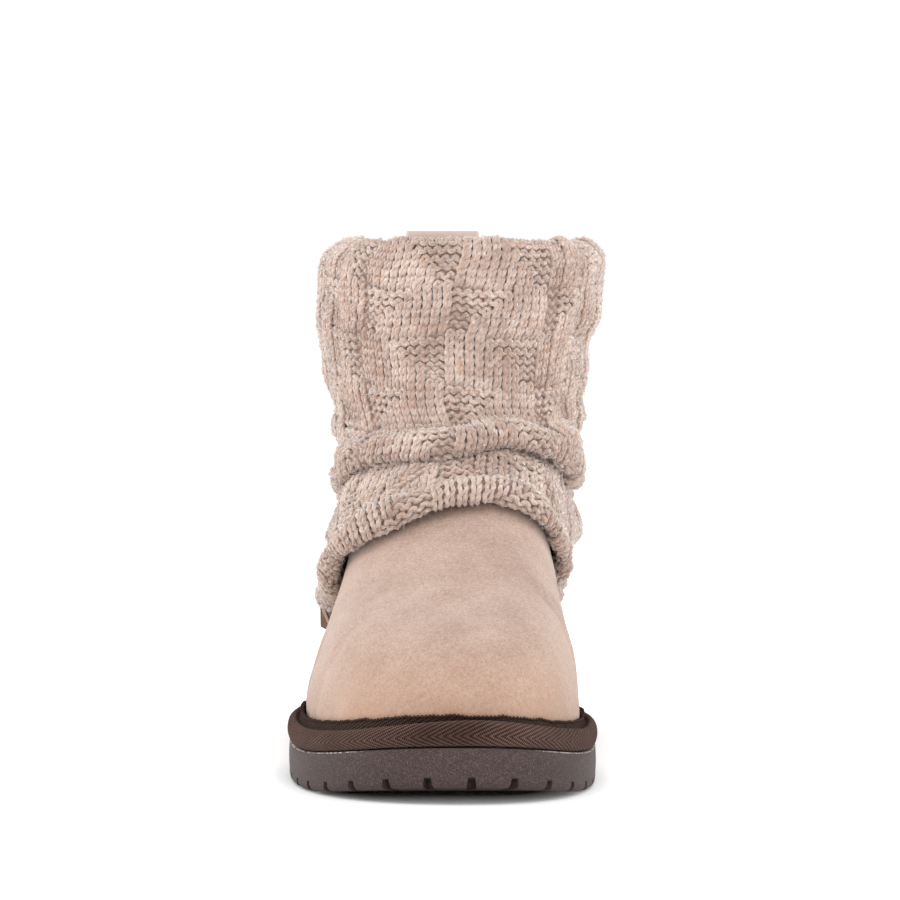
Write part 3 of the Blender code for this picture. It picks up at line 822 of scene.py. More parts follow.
thread = wave(tree, plus(tree, parts["X"], times(tree, from_spine, THREAD_SLOPE)), THREAD_PERIOD)
woven = plus(tree, times(tree, rib, 0.55), times(tree, thread, 0.45))
light_threads = remap(tree, woven, -0.45, 0.6)
lit = mottled(tree, place_vector(tree), 40.0, 900.0, 2.6, (72, 49, 41), (124, 93, 81))
colour = blend_colours(tree, light_threads, shade(22, 12, 10), lit)
# Painted shade in the stitched ditch and over the roll's top: pale strokes of the whipping thread lie over
# near black, which stands for the deep ditch's shade.
in_ditch = remap(tree, parts["Y"], *DITCH)
stroke = wave(tree, plus(tree, parts["X"], times(tree, parts["Y"], STROKE_SLOPE)), STROKE_PERIOD)
ditch_strokes_over_shade = blend_colours(tree, remap(tree, stroke, 0.3, 0.9), shade(18, 10, 8), shade(72, 48, 40))
colour = blend_colours(tree, in_ditch, colour, ditch_strokes_over_shade)
finish_material(tape, colour, woven, 0.8, 0.0006)

# %% Frayed tape: the same yarn, loose
tape_fray, tree = start_material("tape_fray", 1.0, Specular_IOR_Level=0.03)
loose_ends = mottled(tree, place_vector(tree), 200.0, 1500.0, 2.0, (44, 28, 24), (96, 72, 64))
finish_material(tape_fray, loose_ends)

# %% Profile of the tape: metres out of the sole's edge and over the deck
BAND_PROFILE = np.array([
    (-0.0016, 0.0002), (-0.0003, 0.0004), (0.0003, 0.0012), (0.0007, 0.0028), (0.0007, 0.0046),
    (0.0003, 0.0062), (-0.0005, 0.0073), (-0.0015, 0.0078), (-0.0023, 0.0075), (-0.0029, 0.0067),
    (-0.0033, 0.0062), (-0.0036, 0.0070), (-0.0040, 0.0088), (-0.0043, 0.0101), (-0.0048, 0.0099),
    (-0.0050, 0.0082), (-0.0048, 0.0002),
])
PER_STEP, PASSES = 2, 2
places = np.arange(len(BAND_PROFILE))
fine_places = np.linspace(0, places[-1], places[-1] * PER_STEP + 1)
band = averaged(read_along(places, BAND_PROFILE, fine_places), PASSES)
print("profile of", len(band), "points,", round(float(band[:, 1].max()) * 1000, 1), "mm tall")

# %% Tape surface carried along the sole's edge
EDGE_POINTS, ROLL_TOP, LIP_STARTS = 480, 0.0078, -0.0036
edge = sole_edge(EDGE_POINTS)
edge_run = closed_path(edge)[1]
out_of_edge = flat_normals(edge)
front_share = ease((0.075 - edge[:, 1]) / 0.05)
# at the toe the tape stands taller just inside the middle and lower at the outer side
rise = 0.0011 * np.exp(-(((edge[:, 0] - 0.010) / 0.020) ** 2)) * front_share
rise -= 0.0006 * np.exp(-(((edge[:, 0] + 0.036) / 0.016) ** 2)) * front_share
rise += 0.00025 * lattice_noise(edge, 0.03, 21)
outer_part = np.clip(band[:, 1] / ROLL_TOP, 0, 1) * (band[:, 0] > -0.0031)
lift = outer_part[:, None] * rise[None, :]
ring_out = band[:, 0][:, None] + 0.00015 * lattice_noise(edge, 0.012, 22)[None, :]
tape_grid = edge[None] + out_of_edge[None] * ring_out[..., None]
tape_grid[..., 2] = sole_deck(edge[:, 1])[None] + band[:, 1][:, None] + lift
lip = ease((LIP_STARTS - band[:, 0]) / 0.0006) * ease((band[:, 1] - 0.006) / 0.002)
frayed = rough(edge, (0.00035, 0.0045, 23), (0.00025, 0.0016, 24))
tape_grid[..., 2] += lip[:, None] * frayed[None, :]
across_tape = run_along(band)
faces, row, column = grid_faces(len(band), EDGE_POINTS, close_rows=True)
run_mm, across_mm = edge_run * 1000, np.append(across_tape, across_tape[-1] + 0.004) * 1000
tape_uv = np.stack([run_mm[column], across_mm[row]], axis=-1)
binding = mesh_object("sole_binding_tape", tape_grid + MOVE, faces, tape_uv, tape, "binding_tape")
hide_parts("sole_binding")

# %% [markdown]
# ### Whipping along the tape's lip
#
# The tape's upper lip is whipped to the suede with short stitches of dark thread. Each is a small
# spindle that lies along the lip: five rings of five points, thick in the middle and pinched at the
# ends. All of them are one array of grids, and one mesh.

# %% Seam thread
thread_finish, tree = start_material("seam_thread", 0.8, Specular_IOR_Level=0.08)
plies_and_shade = spun(tree, 1.0, 2.0, 0.5)["Plies"]
# Painted shade: the thread's colour darkens into the grooves between its plies and is palest on their
# crowns.
colour = blend_colours(tree, plies_and_shade, shade(30, 20, 17), shade(70, 51, 45))
finish_material(thread_finish, colour, plies_and_shade, 0.5, 0.0002)

# %% Shape of a stitch
STITCHES, STITCH_LENGTH, STITCH_RADIUS, STITCH_RISE = 460, 0.0013, 0.00052, 0.0001
PINCH = 0.985


def ring_around(side, up, angles):
    """Unit circles in the planes of two directions: side by the cosine and up by the sine."""
    return side[:, :, None] * np.cos(angles)[:, None] + up[:, :, None] * np.sin(angles)[:, None]


def stitch_row(path, outward):
    """Short spindles of thread along a closed path: the radius falls with the root of one less the
    square of the place along the stitch, and the middle stands off by one less that square."""
    closed, run = closed_path(path)
    normals = closed_path(outward)[0]
    rings = np.linspace(-1, 1, 5)
    middle = (np.arange(STITCHES)[:, None] + 0.5) * run[-1] / STITCHES
    at = (middle + rings[None] * STITCH_LENGTH / 2) % run[-1]
    centre = read_along(run, closed, at)
    normal = unit(read_along(run, normals, at))
    side = np.cross(unit(np.gradient(centre, axis=1)), normal)
    centre = centre + normal * (STITCH_RISE * (1 - rings**2))[None, :, None]
    turn = np.linspace(0, 2 * math.pi, 5, endpoint=False)
    size = STITCH_RADIUS * np.sqrt(np.clip(1 - rings**2 * PINCH, 0, 1))
    return centre[:, :, None] + ring_around(side, normal, turn) * size[None, :, None, None]


def many_grids(name, grids, uv_step, **rest):
    """One object from a stack of equal grids, each closed round its columns, with its ends pinched."""
    count, rows, columns = grids.shape[:3]
    faces, row, column = grid_faces(rows, columns)
    first = np.arange(count)[:, None, None] * rows * columns
    faces = (faces[None] + first).reshape(-1, 4)
    uv = np.stack([row * uv_step[0], column * uv_step[1]], axis=-1)
    uv = np.broadcast_to(uv, (count, *uv.shape)).reshape(-1, 4, 2)
    return mesh_object(name, grids, faces, uv, **rest)


print(STITCHES, "stitches of", STITCH_LENGTH * 1000, "mm")

# %% Whipping in place
LIP_IN, LIP_UP = 0.0041, 0.0098
leaning = unit(out_of_edge + 0.8 * UP)
lip_path = edge - out_of_edge * LIP_IN
lip_path[:, 2] = sole_deck(edge[:, 1]) + LIP_UP + frayed
whip = stitch_row(lip_path, leaning)
whipping = many_grids("tape_edge_stitches", whip + MOVE, (0.2, 1 / 5), material=thread_finish)

# %% [markdown]
# ## Outsole
#
# The sole is one moulding of matte foam with notches round its lower edge and bars across its tread.
# Cutting each notch from a block would need a Boolean and leave ragged shading. Here the side wall
# is a grid whose columns crowd at each notch: a column outside a notch follows the rounded edge, the
# next one, a hair away, follows the notch's roof and back wall, and the quads between the two are
# the notch's cheeks. The tread inside it is a second grid, with its rows crowded at each groove.

# %% Speckled foam, with traces of glue where it meets the tape
foam, tree = start_material("sole_foam", 0.62, Specular_IOR_Level=0.3)
where = place_vector(tree)
colour = mottled(tree, where, 30.0, 1400.0, 1.5, (48, 36, 35), (67, 52, 50))
specks = noise(tree, where, 2600.0, 2.0, 0.6)
colour = blend_colours(tree, remap(tree, specks, 0.52, 0.67, 0.0, 0.75), colour, shade(110, 91, 87))
colour = blend_colours(tree, remap(tree, specks, 0.46, 0.30, 0.0, 0.8), colour, shade(38, 30, 30))
surface = surface_vector(tree)
# the UV's second number is millimetres under the deck
in_line = remap(tree, distance_from(tree, axes(tree, surface)["Y"], 0.25), 0.28, 0.14)
patches = remap(tree, calc(tree, "ABSOLUTE", axes(tree, where)["X"]), 0.027, 0.034)
broken = remap(tree, noise(tree, surface, 0.9, 3.0), 0.42, 0.56)
glue = times(tree, times(tree, in_line, patches), broken)
colour = blend_colours(tree, glue, colour, shade(196, 186, 180))
finish_material(foam, colour, nap(tree, where, 1700.0, 0.6), 0.25, 0.0003)

# %% Outline of the rim
NOTCHES, FIRST_NOTCH, NOTCH_DEPTH, NOTCH_REACH = 44, 0.16, 0.0032, 0.0095
NOTCH_TOP, NOTCH_MOUTH, EDGE_ROUND = 0.0021, 0.0033, 0.0020
fine_edge = sole_edge(1440)
fine_out = flat_normals(fine_edge)
fine_closed, fine_run = closed_path(fine_edge)
fine_closed_out = closed_path(fine_out)[0]
gap = fine_run[-1] / NOTCHES
centres = (np.arange(NOTCHES) + FIRST_NOTCH) * fine_run[-1] / NOTCHES
print(NOTCHES, "notches, one every", round(gap * 1000, 1), "mm")

# %% Columns of the rim: five at each notch and seven on the land beside it
FILL, HAIR = 7, 0.00004
land = np.arange(1, FILL + 1) / (FILL + 1)
with_width = np.concatenate([[-1, -1, 0, 1, 1], 1 - 2 * land])
in_notch = np.concatenate([[0.0, 1, 1, 1, 0], 0 * land])
land_share = np.concatenate([np.zeros(5), land])
nudge = np.concatenate([[-HAIR, HAIR, 0, -HAIR, HAIR], 0 * land])
print(NOTCHES * len(nudge), "columns")


def on_edge(run):
    """Points of the sole's outline and the directions out of it, at distances along it."""
    wrapped = np.mod(run, fine_run[-1])
    spot = read_along(fine_run, fine_closed[:, :2], wrapped)
    return spot, unit(read_along(fine_run, fine_closed_out[:, :2], wrapped))


def rim_row(out, height_land, height_notch, out_notch):
    """One row of the rim. Heights are over the tread, and a height over 1 counts down from the deck."""
    width_height = np.clip(height_land / NOTCH_DEPTH, 0, 1)
    half = (NOTCH_MOUTH + (NOTCH_TOP - NOTCH_MOUTH) * width_height) / 2
    run = centres[:, None] + with_width[None] * half + nudge[None] + land_share[None] * gap
    spot, away = on_edge(run.ravel())
    share = np.tile(in_notch, NOTCHES)
    reach = out * (1 - share) + out_notch * share
    place = spot + away * reach[:, None]
    floor, deck = sole_floor(place[:, 1]), sole_deck(place[:, 1])

    def height(value):
        """Height of a row's value."""
        return deck - (value - 1) if value > 0.9 else floor + value

    z = height(height_land) * (1 - share) + height(height_notch) * share
    return np.column_stack([place, z])


# %% Rows of the rim, from the deck down the wall and round into the notches
rim_rows = []
SHOULDER = [(-NOTCH_REACH, 0.0002), (-0.0016, 0.0), (-0.0007, 0.00005), (-0.0002, 0.0003), (0.0, 0.0008)]
for out, down in SHOULDER:
    rim_rows.append(rim_row(out, 1 + down, 1 + down, out))
for share in (0.25, 0.5, 0.75):
    bulge = 0.0002 * math.sin(math.pi * share)
    top_run = rim_row(bulge, 1.0008, 1.0008, bulge)
    low_run = rim_row(bulge, NOTCH_DEPTH, NOTCH_DEPTH, bulge)
    rim_rows.append(top_run * (1 - share) + low_run * share)
rim_rows.append(rim_row(0.0, NOTCH_DEPTH, NOTCH_DEPTH, 0.0))
turns = np.linspace(0, math.pi / 2, 5)
corner = [(-EDGE_ROUND * (1 - math.cos(t)), EDGE_ROUND * (1 - math.sin(t))) for t in turns]
lower_rows = [(0.0, NOTCH_DEPTH * 0.8)] + corner + [(-0.006, 0.0), (-NOTCH_REACH, 0.0)]
notch_rows = [(-NOTCH_REACH * s, NOTCH_DEPTH) for s in (0.12, 0.4, 0.7, 1.0)]
notch_rows += [(-NOTCH_REACH, NOTCH_DEPTH * s) for s in (0.75, 0.5, 0.25, 0.0)]
for (out, up), (out_in, up_in) in zip(lower_rows, notch_rows):
    rim_rows.append(rim_row(out, up, up_in, out_in))
rim = np.array(rim_rows)
print("rim", rim.shape)

# %% Rim of the sole with its notches
faces, row, column = grid_faces(*rim.shape[:2], close_rows=True)
under_deck = (sole_deck(rim[..., 1]) - rim[..., 2]) * 1000
corner_under = under_deck.reshape(-1)[faces]
uv = np.stack([column * fine_run[-1] * 1000 / rim.shape[1], corner_under], axis=-1)
sole_rim = mesh_object("outsole_rim", rim + MOVE, faces, uv, foam, "sole_foam")
sole_rim.data.set_sharp_from_angle(angle=math.radians(38))
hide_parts("outsole")

# %% [markdown]
# ### Tread
#
# Nothing of the tread shows in the reference, so it is a plain guess: straight bars across ball and
# heel, as such soles have. The block is a grid of stations from toe to heel, each a closed ring of
# points over the bottom and back over the top, with rows crowded where a groove begins and ends.

# %% Stations and points across the tread
GROOVE_DEPTH, GROOVE_HALF, GROOVE_FLAT, GROOVE_WALL = 0.0024, 0.0021, 0.0015, 0.0006
GROOVE_MARGIN, MARGIN_FADE, STATION_STEP, CLEARANCE = 0.0045, 0.0015, 0.002, 0.0002
grooves = np.concatenate([np.linspace(0.032, 0.110, 7), np.linspace(0.200, 0.244, 4)])
inset = widened(fine_edge, -NOTCH_REACH - CLEARANCE)
ends = inset[:, 1].min() + CLEARANCE, inset[:, 1].max() - CLEARANCE
walls = grooves[:, None] + np.array([-GROOVE_HALF, -GROOVE_FLAT, GROOVE_FLAT, GROOVE_HALF])[None]
steps = np.arange(ends[0], ends[1], STATION_STEP)
stations = np.sort(np.concatenate([[ends[0]], steps[1:], walls.ravel(), [ends[1]]]))
side_in, side_out = inset[inset[:, 0] > 0], inset[inset[:, 0] <= 0]
x_in = np.interp(stations, *side_in[np.argsort(side_in[:, 1])][:, [1, 0]].T)
x_out = np.interp(stations, *side_out[np.argsort(side_out[:, 1])][:, [1, 0]].T)
across = np.concatenate([[0, 0.02], np.linspace(0.06, 0.94, 22), [0.98, 1.0]])
x = x_out[:, None] + (x_in - x_out)[:, None] * across[None]
print(len(grooves), "grooves,", len(stations), "stations")

# %% Tread with its grooves, the core of the sole
TREAD_LIFT, DECK_DROP = 0.00005, 0.0003
from_side = np.minimum(x - x_out[:, None], x_in[:, None] - x)
off_groove = np.min(np.abs(stations[:, None] - grooves[None]), axis=1)
cut = np.clip((GROOVE_HALF - off_groove) / GROOVE_WALL, 0, 1)[:, None]
cut = cut * ease((from_side - GROOVE_MARGIN) / MARGIN_FADE)
bottom = np.stack([x, np.broadcast_to(stations[:, None], x.shape), cut * GROOVE_DEPTH], axis=-1)
bottom[..., 2] += sole_floor(stations)[:, None] + TREAD_LIFT
top = bottom[:, ::-1].copy()
top[..., 2] = sole_deck(stations)[:, None] - DECK_DROP
block = np.concatenate([bottom, top], axis=1)
toe_end, heel_end = block[:1].copy(), block[-1:].copy()
for flat in (toe_end, heel_end):
    flat[..., 2] = flat[..., 2].mean()
block = np.concatenate([toe_end, block, heel_end])
tread = grid_object("outsole_tread", block + MOVE, material=foam, slot="sole_foam")
tread.data.set_sharp_from_angle(angle=math.radians(30))

# %% [markdown]
# ## Knitted cuff: where the fabric lies
#
# The cuff is a thick hand-knit tube. It slouches: the upper part hangs down over itself in one fold,
# and the lower part comes out from under that fold and ends in a rolled hem. The fabric is laid out
# first, as two smooth sleeves stood off the upper along its meridians. Every sleeve is then measured
# in stitches, 100 round and one course every 2.85 mm, and real yarn is knitted on it afterwards.

# %% Meridians of the shaft
SHAFT_AXIS = np.array([0.0035, 0.205])
MERIDIANS, SHAFT_LEVELS = 360, 110
angles = np.linspace(-math.pi, math.pi, MERIDIANS, endpoint=False)
radius, height = [], []
for level in np.linspace(1.0, TOP_LEVEL, SHAFT_LEVELS):
    loop = loop_of(section_at(level), MERIDIANS)
    arm = loop[:, :2] - SHAFT_AXIS
    turn = np.arctan2(arm[:, 0], -arm[:, 1])
    order = np.argsort(turn)
    radius.append(np.interp(angles, turn[order], np.linalg.norm(arm, axis=1)[order], period=2 * math.pi))
    height.append(np.interp(angles, turn[order], loop[order, 2], period=2 * math.pi))
radius, height = np.array(radius), np.array(height)
swing = (np.roll(radius, -3, axis=1) - np.roll(radius, 3, axis=1)) / (6 * (angles[1] - angles[0]))
slant = np.clip(np.hypot(1, swing / radius), 1, 1.35)
steps = np.hypot(np.diff(radius, axis=0), np.diff(height, axis=0))
run = np.vstack([np.zeros(len(angles)), np.cumsum(steps, axis=0)])
slope = unit(np.stack([np.gradient(radius, axis=0), np.gradient(height, axis=0)], axis=-1))
print("meridians", radius.shape)


def down_columns(known, values, wanted):
    """Linear reading down every column at once: known and values are (rows, columns)."""
    above = np.zeros(wanted.shape, int)
    for row in known:
        above += row[None] <= wanted
    above = np.clip(above, 1, len(known) - 1)
    a, b = np.take_along_axis(known, above - 1, 0), np.take_along_axis(known, above, 0)
    share = np.clip((wanted - a) / np.maximum(b - a, 1e-9), 0, 1)
    low, high = np.take_along_axis(values, above - 1, 0), np.take_along_axis(values, above, 0)
    return low + (high - low) * share


# %% Lines of the hem and of the fold
HEM_OUTER, HEM_INNER, HEM_RISE = 0.0500, 0.0540, 0.0366
HEM_PEAK, HEM_INNER_FALL, HEM_OUTER_FALL = 5, 40, 64
HEM_LEAN, HEM_FLAT, FOLD_LEAN = 0.08, 0.16, 0.10
# height of the fold's crease against the angle from the toe, in degrees, outer side negative
FOLD_LINE = np.array([
    (-180, 0.0930), (-120, 0.0905), (-90, 0.0895), (-55, 0.0940), (-36, 0.0974),
    (-20, 0.1001), (0, 0.1024), (12, 0.1064), (21, 0.1022), (30, 0.1006),
    (42, 0.1016), (62, 0.0965), (90, 0.0925), (130, 0.0925), (180, 0.0930),
])
hem_level = (HEM_INNER + HEM_OUTER) / 2 + (HEM_INNER - HEM_OUTER) / 2 * np.sin(angles)
off_peak = (angles - math.radians(HEM_PEAK) + math.pi) % (2 * math.pi) - math.pi
fall = np.where(off_peak > 0, math.radians(HEM_INNER_FALL), math.radians(HEM_OUTER_FALL))
hem_share = np.clip(off_peak / fall, -1, 1)
hem_z = hem_level + HEM_RISE * np.cos(hem_share * math.pi / 2) ** 2
fold_z = np.interp(np.degrees(angles), *FOLD_LINE.T)
for _ in range(30):
    fold_z = fold_z / 2 + (np.roll(fold_z, 1) + np.roll(fold_z, -1)) / 4
marks = {
    "hem": down_columns(height, run, hem_z[None])[0],
    "fold": down_columns(height, run, fold_z[None])[0],
    "top": run[-1] - 0.0005,
}
# Share of its distance out at which each roll hangs, by the angle. The hem hangs closer in front, and
# the two sides differ at both.
bulge = {
    "hem": 1 - HEM_LEAN * np.sin(angles) - HEM_FLAT * np.clip(np.cos(angles), 0, 1) ** 2,
    "fold": 1 + FOLD_LEAN * np.sin(angles),
    "top": np.ones(len(angles)),
}
AFTER = {"hem": "fold", "fold": "top", "top": "top"}
print("hem from", round(float(hem_z.min()), 4), "to", round(float(hem_z.max()), 4), "m up")

# %% Profiles of the two sleeves
# Each row is a line, the share of the way to the next line, the distance on from there, and the
# distance out of the upper
LOWER_SLEEVE = [
    ("hem", 0, 0.0060, 0.0024), ("hem", 0, 0.0006, 0.0028), ("hem", 0, -0.0020, 0.0052),
    ("hem", 0, -0.0012, 0.0088), ("hem", 0, 0.0020, 0.0112), ("hem", 0, 0.0054, 0.0100),
    ("hem", 0, 0.0078, 0.0058), ("hem", 0, 0.0100, 0.0040), ("hem", 0.45, 0.0020, 0.0046),
    ("hem", 0.70, 0.0010, 0.0062), ("hem", 0.88, 0, 0.0052), ("fold", 0, 0.0052, 0.0038),
]
UPPER_SLEEVE = [
    ("fold", 0, 0.0050, 0.0040), ("fold", 0, 0.0010, 0.0050), ("fold", 0, -0.0032, 0.0070),
    ("fold", 0, -0.0014, 0.0100), ("fold", 0, 0.0026, 0.0116), ("fold", 0, 0.0064, 0.0106),
    ("fold", 0, 0.0096, 0.0074), ("fold", 0, 0.0122, 0.0048), ("fold", 0, 0.0165, 0.0044),
    ("fold", 0.35, 0.0010, 0.0060), ("fold", 0.50, 0, 0.0062), ("fold", 0.68, 0, 0.0062),
    ("fold", 0.85, 0, 0.0064), ("top", 0, -0.0058, 0.0058), ("top", 0, -0.0010, 0.0044),
    ("top", 0, 0.0010, 0.0024), ("top", 0, 0.0008, 0.0002), ("top", 0, -0.0024, -0.0012),
]
# Where the cloth hangs further in or out at the two sides: height, then millimetres inwards at the
# outer side and at the inner side. Most of these numbers were worked out by scratch programs, which
# fitted them to the outline in the front view. A few swells chosen by hand would be better practice.
SIDE_HANG = np.array([
    (0.0500, -1.8, 0.7), (0.0555, -0.2, 7.7), (0.0610, -2.6, 8.6), (0.0664, -3.5, 0.2),
    (0.0720, -3.3, -5.2), (0.0775, -0.9, -3.5), (0.0830, 1.6, 0.3), (0.0885, 0.8, 0.6),
    (0.0940, 3.5, 4.8), (0.0994, 5.0, 4.1), (0.1050, -0.7, 4.6), (0.1104, -2.7, -0.4),
    (0.1160, 0.8, -1.6), (0.1214, 1.0, 1.6), (0.1270, 0.0, 1.1), (0.1325, -0.3, 0.5),
    (0.1380, -0.1, 3.2), (0.1434, -0.2, 3.5), (0.1490, -0.9, 1.0), (0.1545, -0.4, 1.7),
    (0.1600, 0.9, 3.0), (0.1654, 0.6, 1.5), (0.1709, 1.6, 0.8), (0.1764, 8.6, 5.5), (0.1800, 6.4, 6.4),
])
print("profiles of", len(LOWER_SLEEVE), "and", len(UPPER_SLEEVE), "points")

# %% Sleeves stood off the upper


def sleeve(profile, per_step=14, passes=26):
    """Points (samples, angles, 3) of a profile stood off the upper: each sample reads the meridian at
    its distance along and moves out along the meridian's normal."""
    at, out = [], []
    for line, share, along, off in profile:
        at.append(marks[line] + share * (marks[AFTER[line]] - marks[line]) + along)
        out.append(off * bulge[line] if off > 0.0030 else np.full(len(angles), off))
    control = np.stack([np.array(at), np.array(out)], axis=-1)
    fine = np.linspace(0, len(profile) - 1, (len(profile) - 1) * per_step + 1)
    low = np.clip(fine.astype(int), 0, len(profile) - 2)
    share = (fine - low)[:, None, None]
    drawn = averaged(control[low] * (1 - share) + control[low + 1] * share, passes)
    at, out = drawn[..., 0], drawn[..., 1]
    r, z, lean = (down_columns(run, values, at) for values in (radius, height, slant))
    dr, dz = (down_columns(run, slope[..., k], at) for k in (0, 1))
    z = z + np.maximum(0, at - run[-1])
    r, z = r + dz * out * lean, z - dr * out * lean
    x = SHAFT_AXIS[0] + r * np.sin(angles)
    return np.stack([x, SHAFT_AXIS[1] - r * np.cos(angles), z], axis=-1)


print("sleeves follow", MERIDIANS, "meridians")

# %% Slouch of the cloth


def slouch(points, strength):
    """Slow, uneven swells in a sleeve, as cloth that hangs loose has them, along its normals."""
    swell = rough(points, (0.0008, 0.026, 31), (0.00045, 0.011, 32))
    arm = points[..., :2] - SHAFT_AXIS
    sideways = unit(arm)[..., 0]
    pull = [np.interp(points[..., 2], SIDE_HANG[:, 0], SIDE_HANG[:, k]) / 1000 for k in (1, 2)]
    inwards = np.where(sideways < 0, pull[0], pull[1]) * sideways**2
    moved = points + grid_normals(points) * (swell * strength)[..., None]
    moved[..., 0] -= np.sign(sideways) * inwards
    return moved


print("the sides hang in and out between", SIDE_HANG[0, 0], "and", SIDE_HANG[-1, 0], "m up")

# %% Sleeves measured in stitches
WALES, COURSE = 100, 0.00285


def in_stitches(points, from_end=False):
    """A sleeve re-measured in stitches: a row every half course, thirds of a wale round each row.

    Returns the grid and how many courses of cloth are left beyond each point."""
    if from_end:
        points = points[::-1]
    lengths = np.linalg.norm(np.diff(points, axis=0), axis=2)
    reach = np.vstack([np.zeros(points.shape[1]), np.cumsum(lengths, axis=0)])
    count = int(reach[-1].max() / (COURSE / 2)) + 1
    wanted = np.arange(count)[:, None] * (COURSE / 2) + np.zeros(points.shape[1])[None]
    laid = np.stack([down_columns(reach, points[..., k], wanted) for k in range(3)], axis=-1)
    left = (reach[-1][None] - wanted) / COURSE
    rows = []
    for ring, remaining in zip(laid, left):
        closed, _ = closed_path(np.column_stack([ring, remaining]))
        around = run_along(closed[:, :3])
        rows.append(read_along(around, closed, np.linspace(0, around[-1], WALES * 3 + 1)[:-1]))
    rows = np.array(rows)
    return rows[..., :3], rows[..., 3]


lower_cloth = slouch(sleeve(LOWER_SLEEVE), 0.8)
upper_cloth = slouch(sleeve(UPPER_SLEEVE), 1.0)
lower_grid, lower_left = in_stitches(lower_cloth)
upper_grid, upper_left = in_stitches(upper_cloth, from_end=True)
print("lower sleeve", lower_grid.shape, "upper sleeve", upper_grid.shape)

# %% [markdown]
# ## Knitting the yarn
#
# Knitted cloth can be faked with a bump map, but its look is the yarn: each stitch is a loop drawn
# through the one below. So the yarn is really knitted here. One course is a single strand whose path
# swings sideways by the sine of twice its phase, up and down by the cosine, and in and out by the
# cosine of twice its phase. That last swing decides the stitch: with the legs in front it is a knit
# stitch, with the legs behind it is a purl. A chart of knit and purl draws the pennants.

# %% Chart of knit and purl
CHART_START, CHART_DOWN, PENNANT, BAND_COURSES = 50, 2, 10, 6
RIB, RIB_FROM, RIB_TO, RIB_WIDTH, RIB_DEPTH = 5, 8, 28, 0.9, 0.0011
STEP_BESIDE, STEP_ABOVE = 0.00062, 0.00066


def stitch_kind(course, wale):
    """1 for knit and -1 for purl. Bands of six courses carry purl pennants ten wales apart: one
    straight side stands on the start wale, and the slanted side moves a wale each course, from six
    wales down to two. The next band mirrors them."""
    band, step = np.divmod(course - CHART_DOWN, BAND_COURSES)
    wide = np.maximum(BAND_COURSES - step, 2)
    place = np.mod(wale - CHART_START, PENNANT)
    purl = np.where(np.mod(band, 2) == 0, place >= PENNANT - wide, place < wide)
    return np.where(purl, -1.0, 1.0)


def relief_of(kind):
    """Knit stands forward of purl beside it, and purl stands forward of knit above or below it. Grooves
    five wales apart run down both sides, where the cloth hangs in ribs."""
    beside = sum(np.roll(kind, k, axis=1) for k in range(-3, 4)) / 7
    padded = np.pad(kind, ((3, 3), (0, 0)), mode="edge")
    above = sum(padded[k : k + len(kind)] for k in range(7)) / 7
    off_centre = np.abs(np.arange(WALES) - CHART_START)
    groove = np.exp(-(((np.mod(off_centre - RIB_FROM, RIB) - RIB / 2) / RIB_WIDTH) ** 2))
    groove = groove * ((off_centre > RIB_FROM) & (off_centre < RIB_TO))
    return STEP_BESIDE * (kind - beside) - STEP_ABOVE * (kind - above) - RIB_DEPTH * groove[None]


def read_grid(grid, row, column):
    """Bilinear reading of a grid at fractional rows and columns. Columns wrap round."""
    low = np.clip(np.floor(row).astype(int), 0, len(grid) - 2)
    left = np.floor(column).astype(int)
    up, on = np.clip(row - low, 0, 1)[..., None], (column - left)[..., None]
    count = grid.shape[1]
    a = grid[low, left % count] * (1 - on) + grid[low, (left + 1) % count] * on
    b = grid[low + 1, left % count] * (1 - on) + grid[low + 1, (left + 1) % count] * on
    return a * (1 - up) + b * up


chart = stitch_kind(np.arange(12)[:, None], np.arange(WALES)[None])
print("share of purl in two bands", round(float(np.mean(chart < 0)), 2))

# %% [markdown]
# ### One strand to a course
#
# Each strand is read off the sleeve by its own formula, ten samples to a stitch. Real stitches are
# never even, so every stitch gets its own looseness and its own loft. The depth of a leg comes from
# its own stitch and the depth of a head from the stitch that it is drawn through. How far the yarn
# lies out of the cloth is kept as an attribute, "lie", by which the wool is darkened in the hollows
# as painted shade.

# %% Strands of yarn
SAMPLES, SIDES, YARN, TURN_START = 10, 5, 0.00090, 0.3
SWING, CLIMB, DEPTH, GATHER = 0.165, 0.78, 0.00088, 0.050
LOOSENESS, LOOSEST, LOFT, SHIFT = 0.20, 1.4, 0.00018, 0.04
STITCH_TURN, HEAD_FROM, HEAD_FADE, LEAST_CLOTH = 0.30, 0.2, 0.5, 0.3
sides = np.linspace(0, 2 * math.pi, SIDES, endpoint=False) + TURN_START


def chart_rows(first, count):
    """Knit and purl of some courses, all the way round."""
    return stitch_kind(np.arange(first, first + count)[:, None], np.arange(WALES)[None])


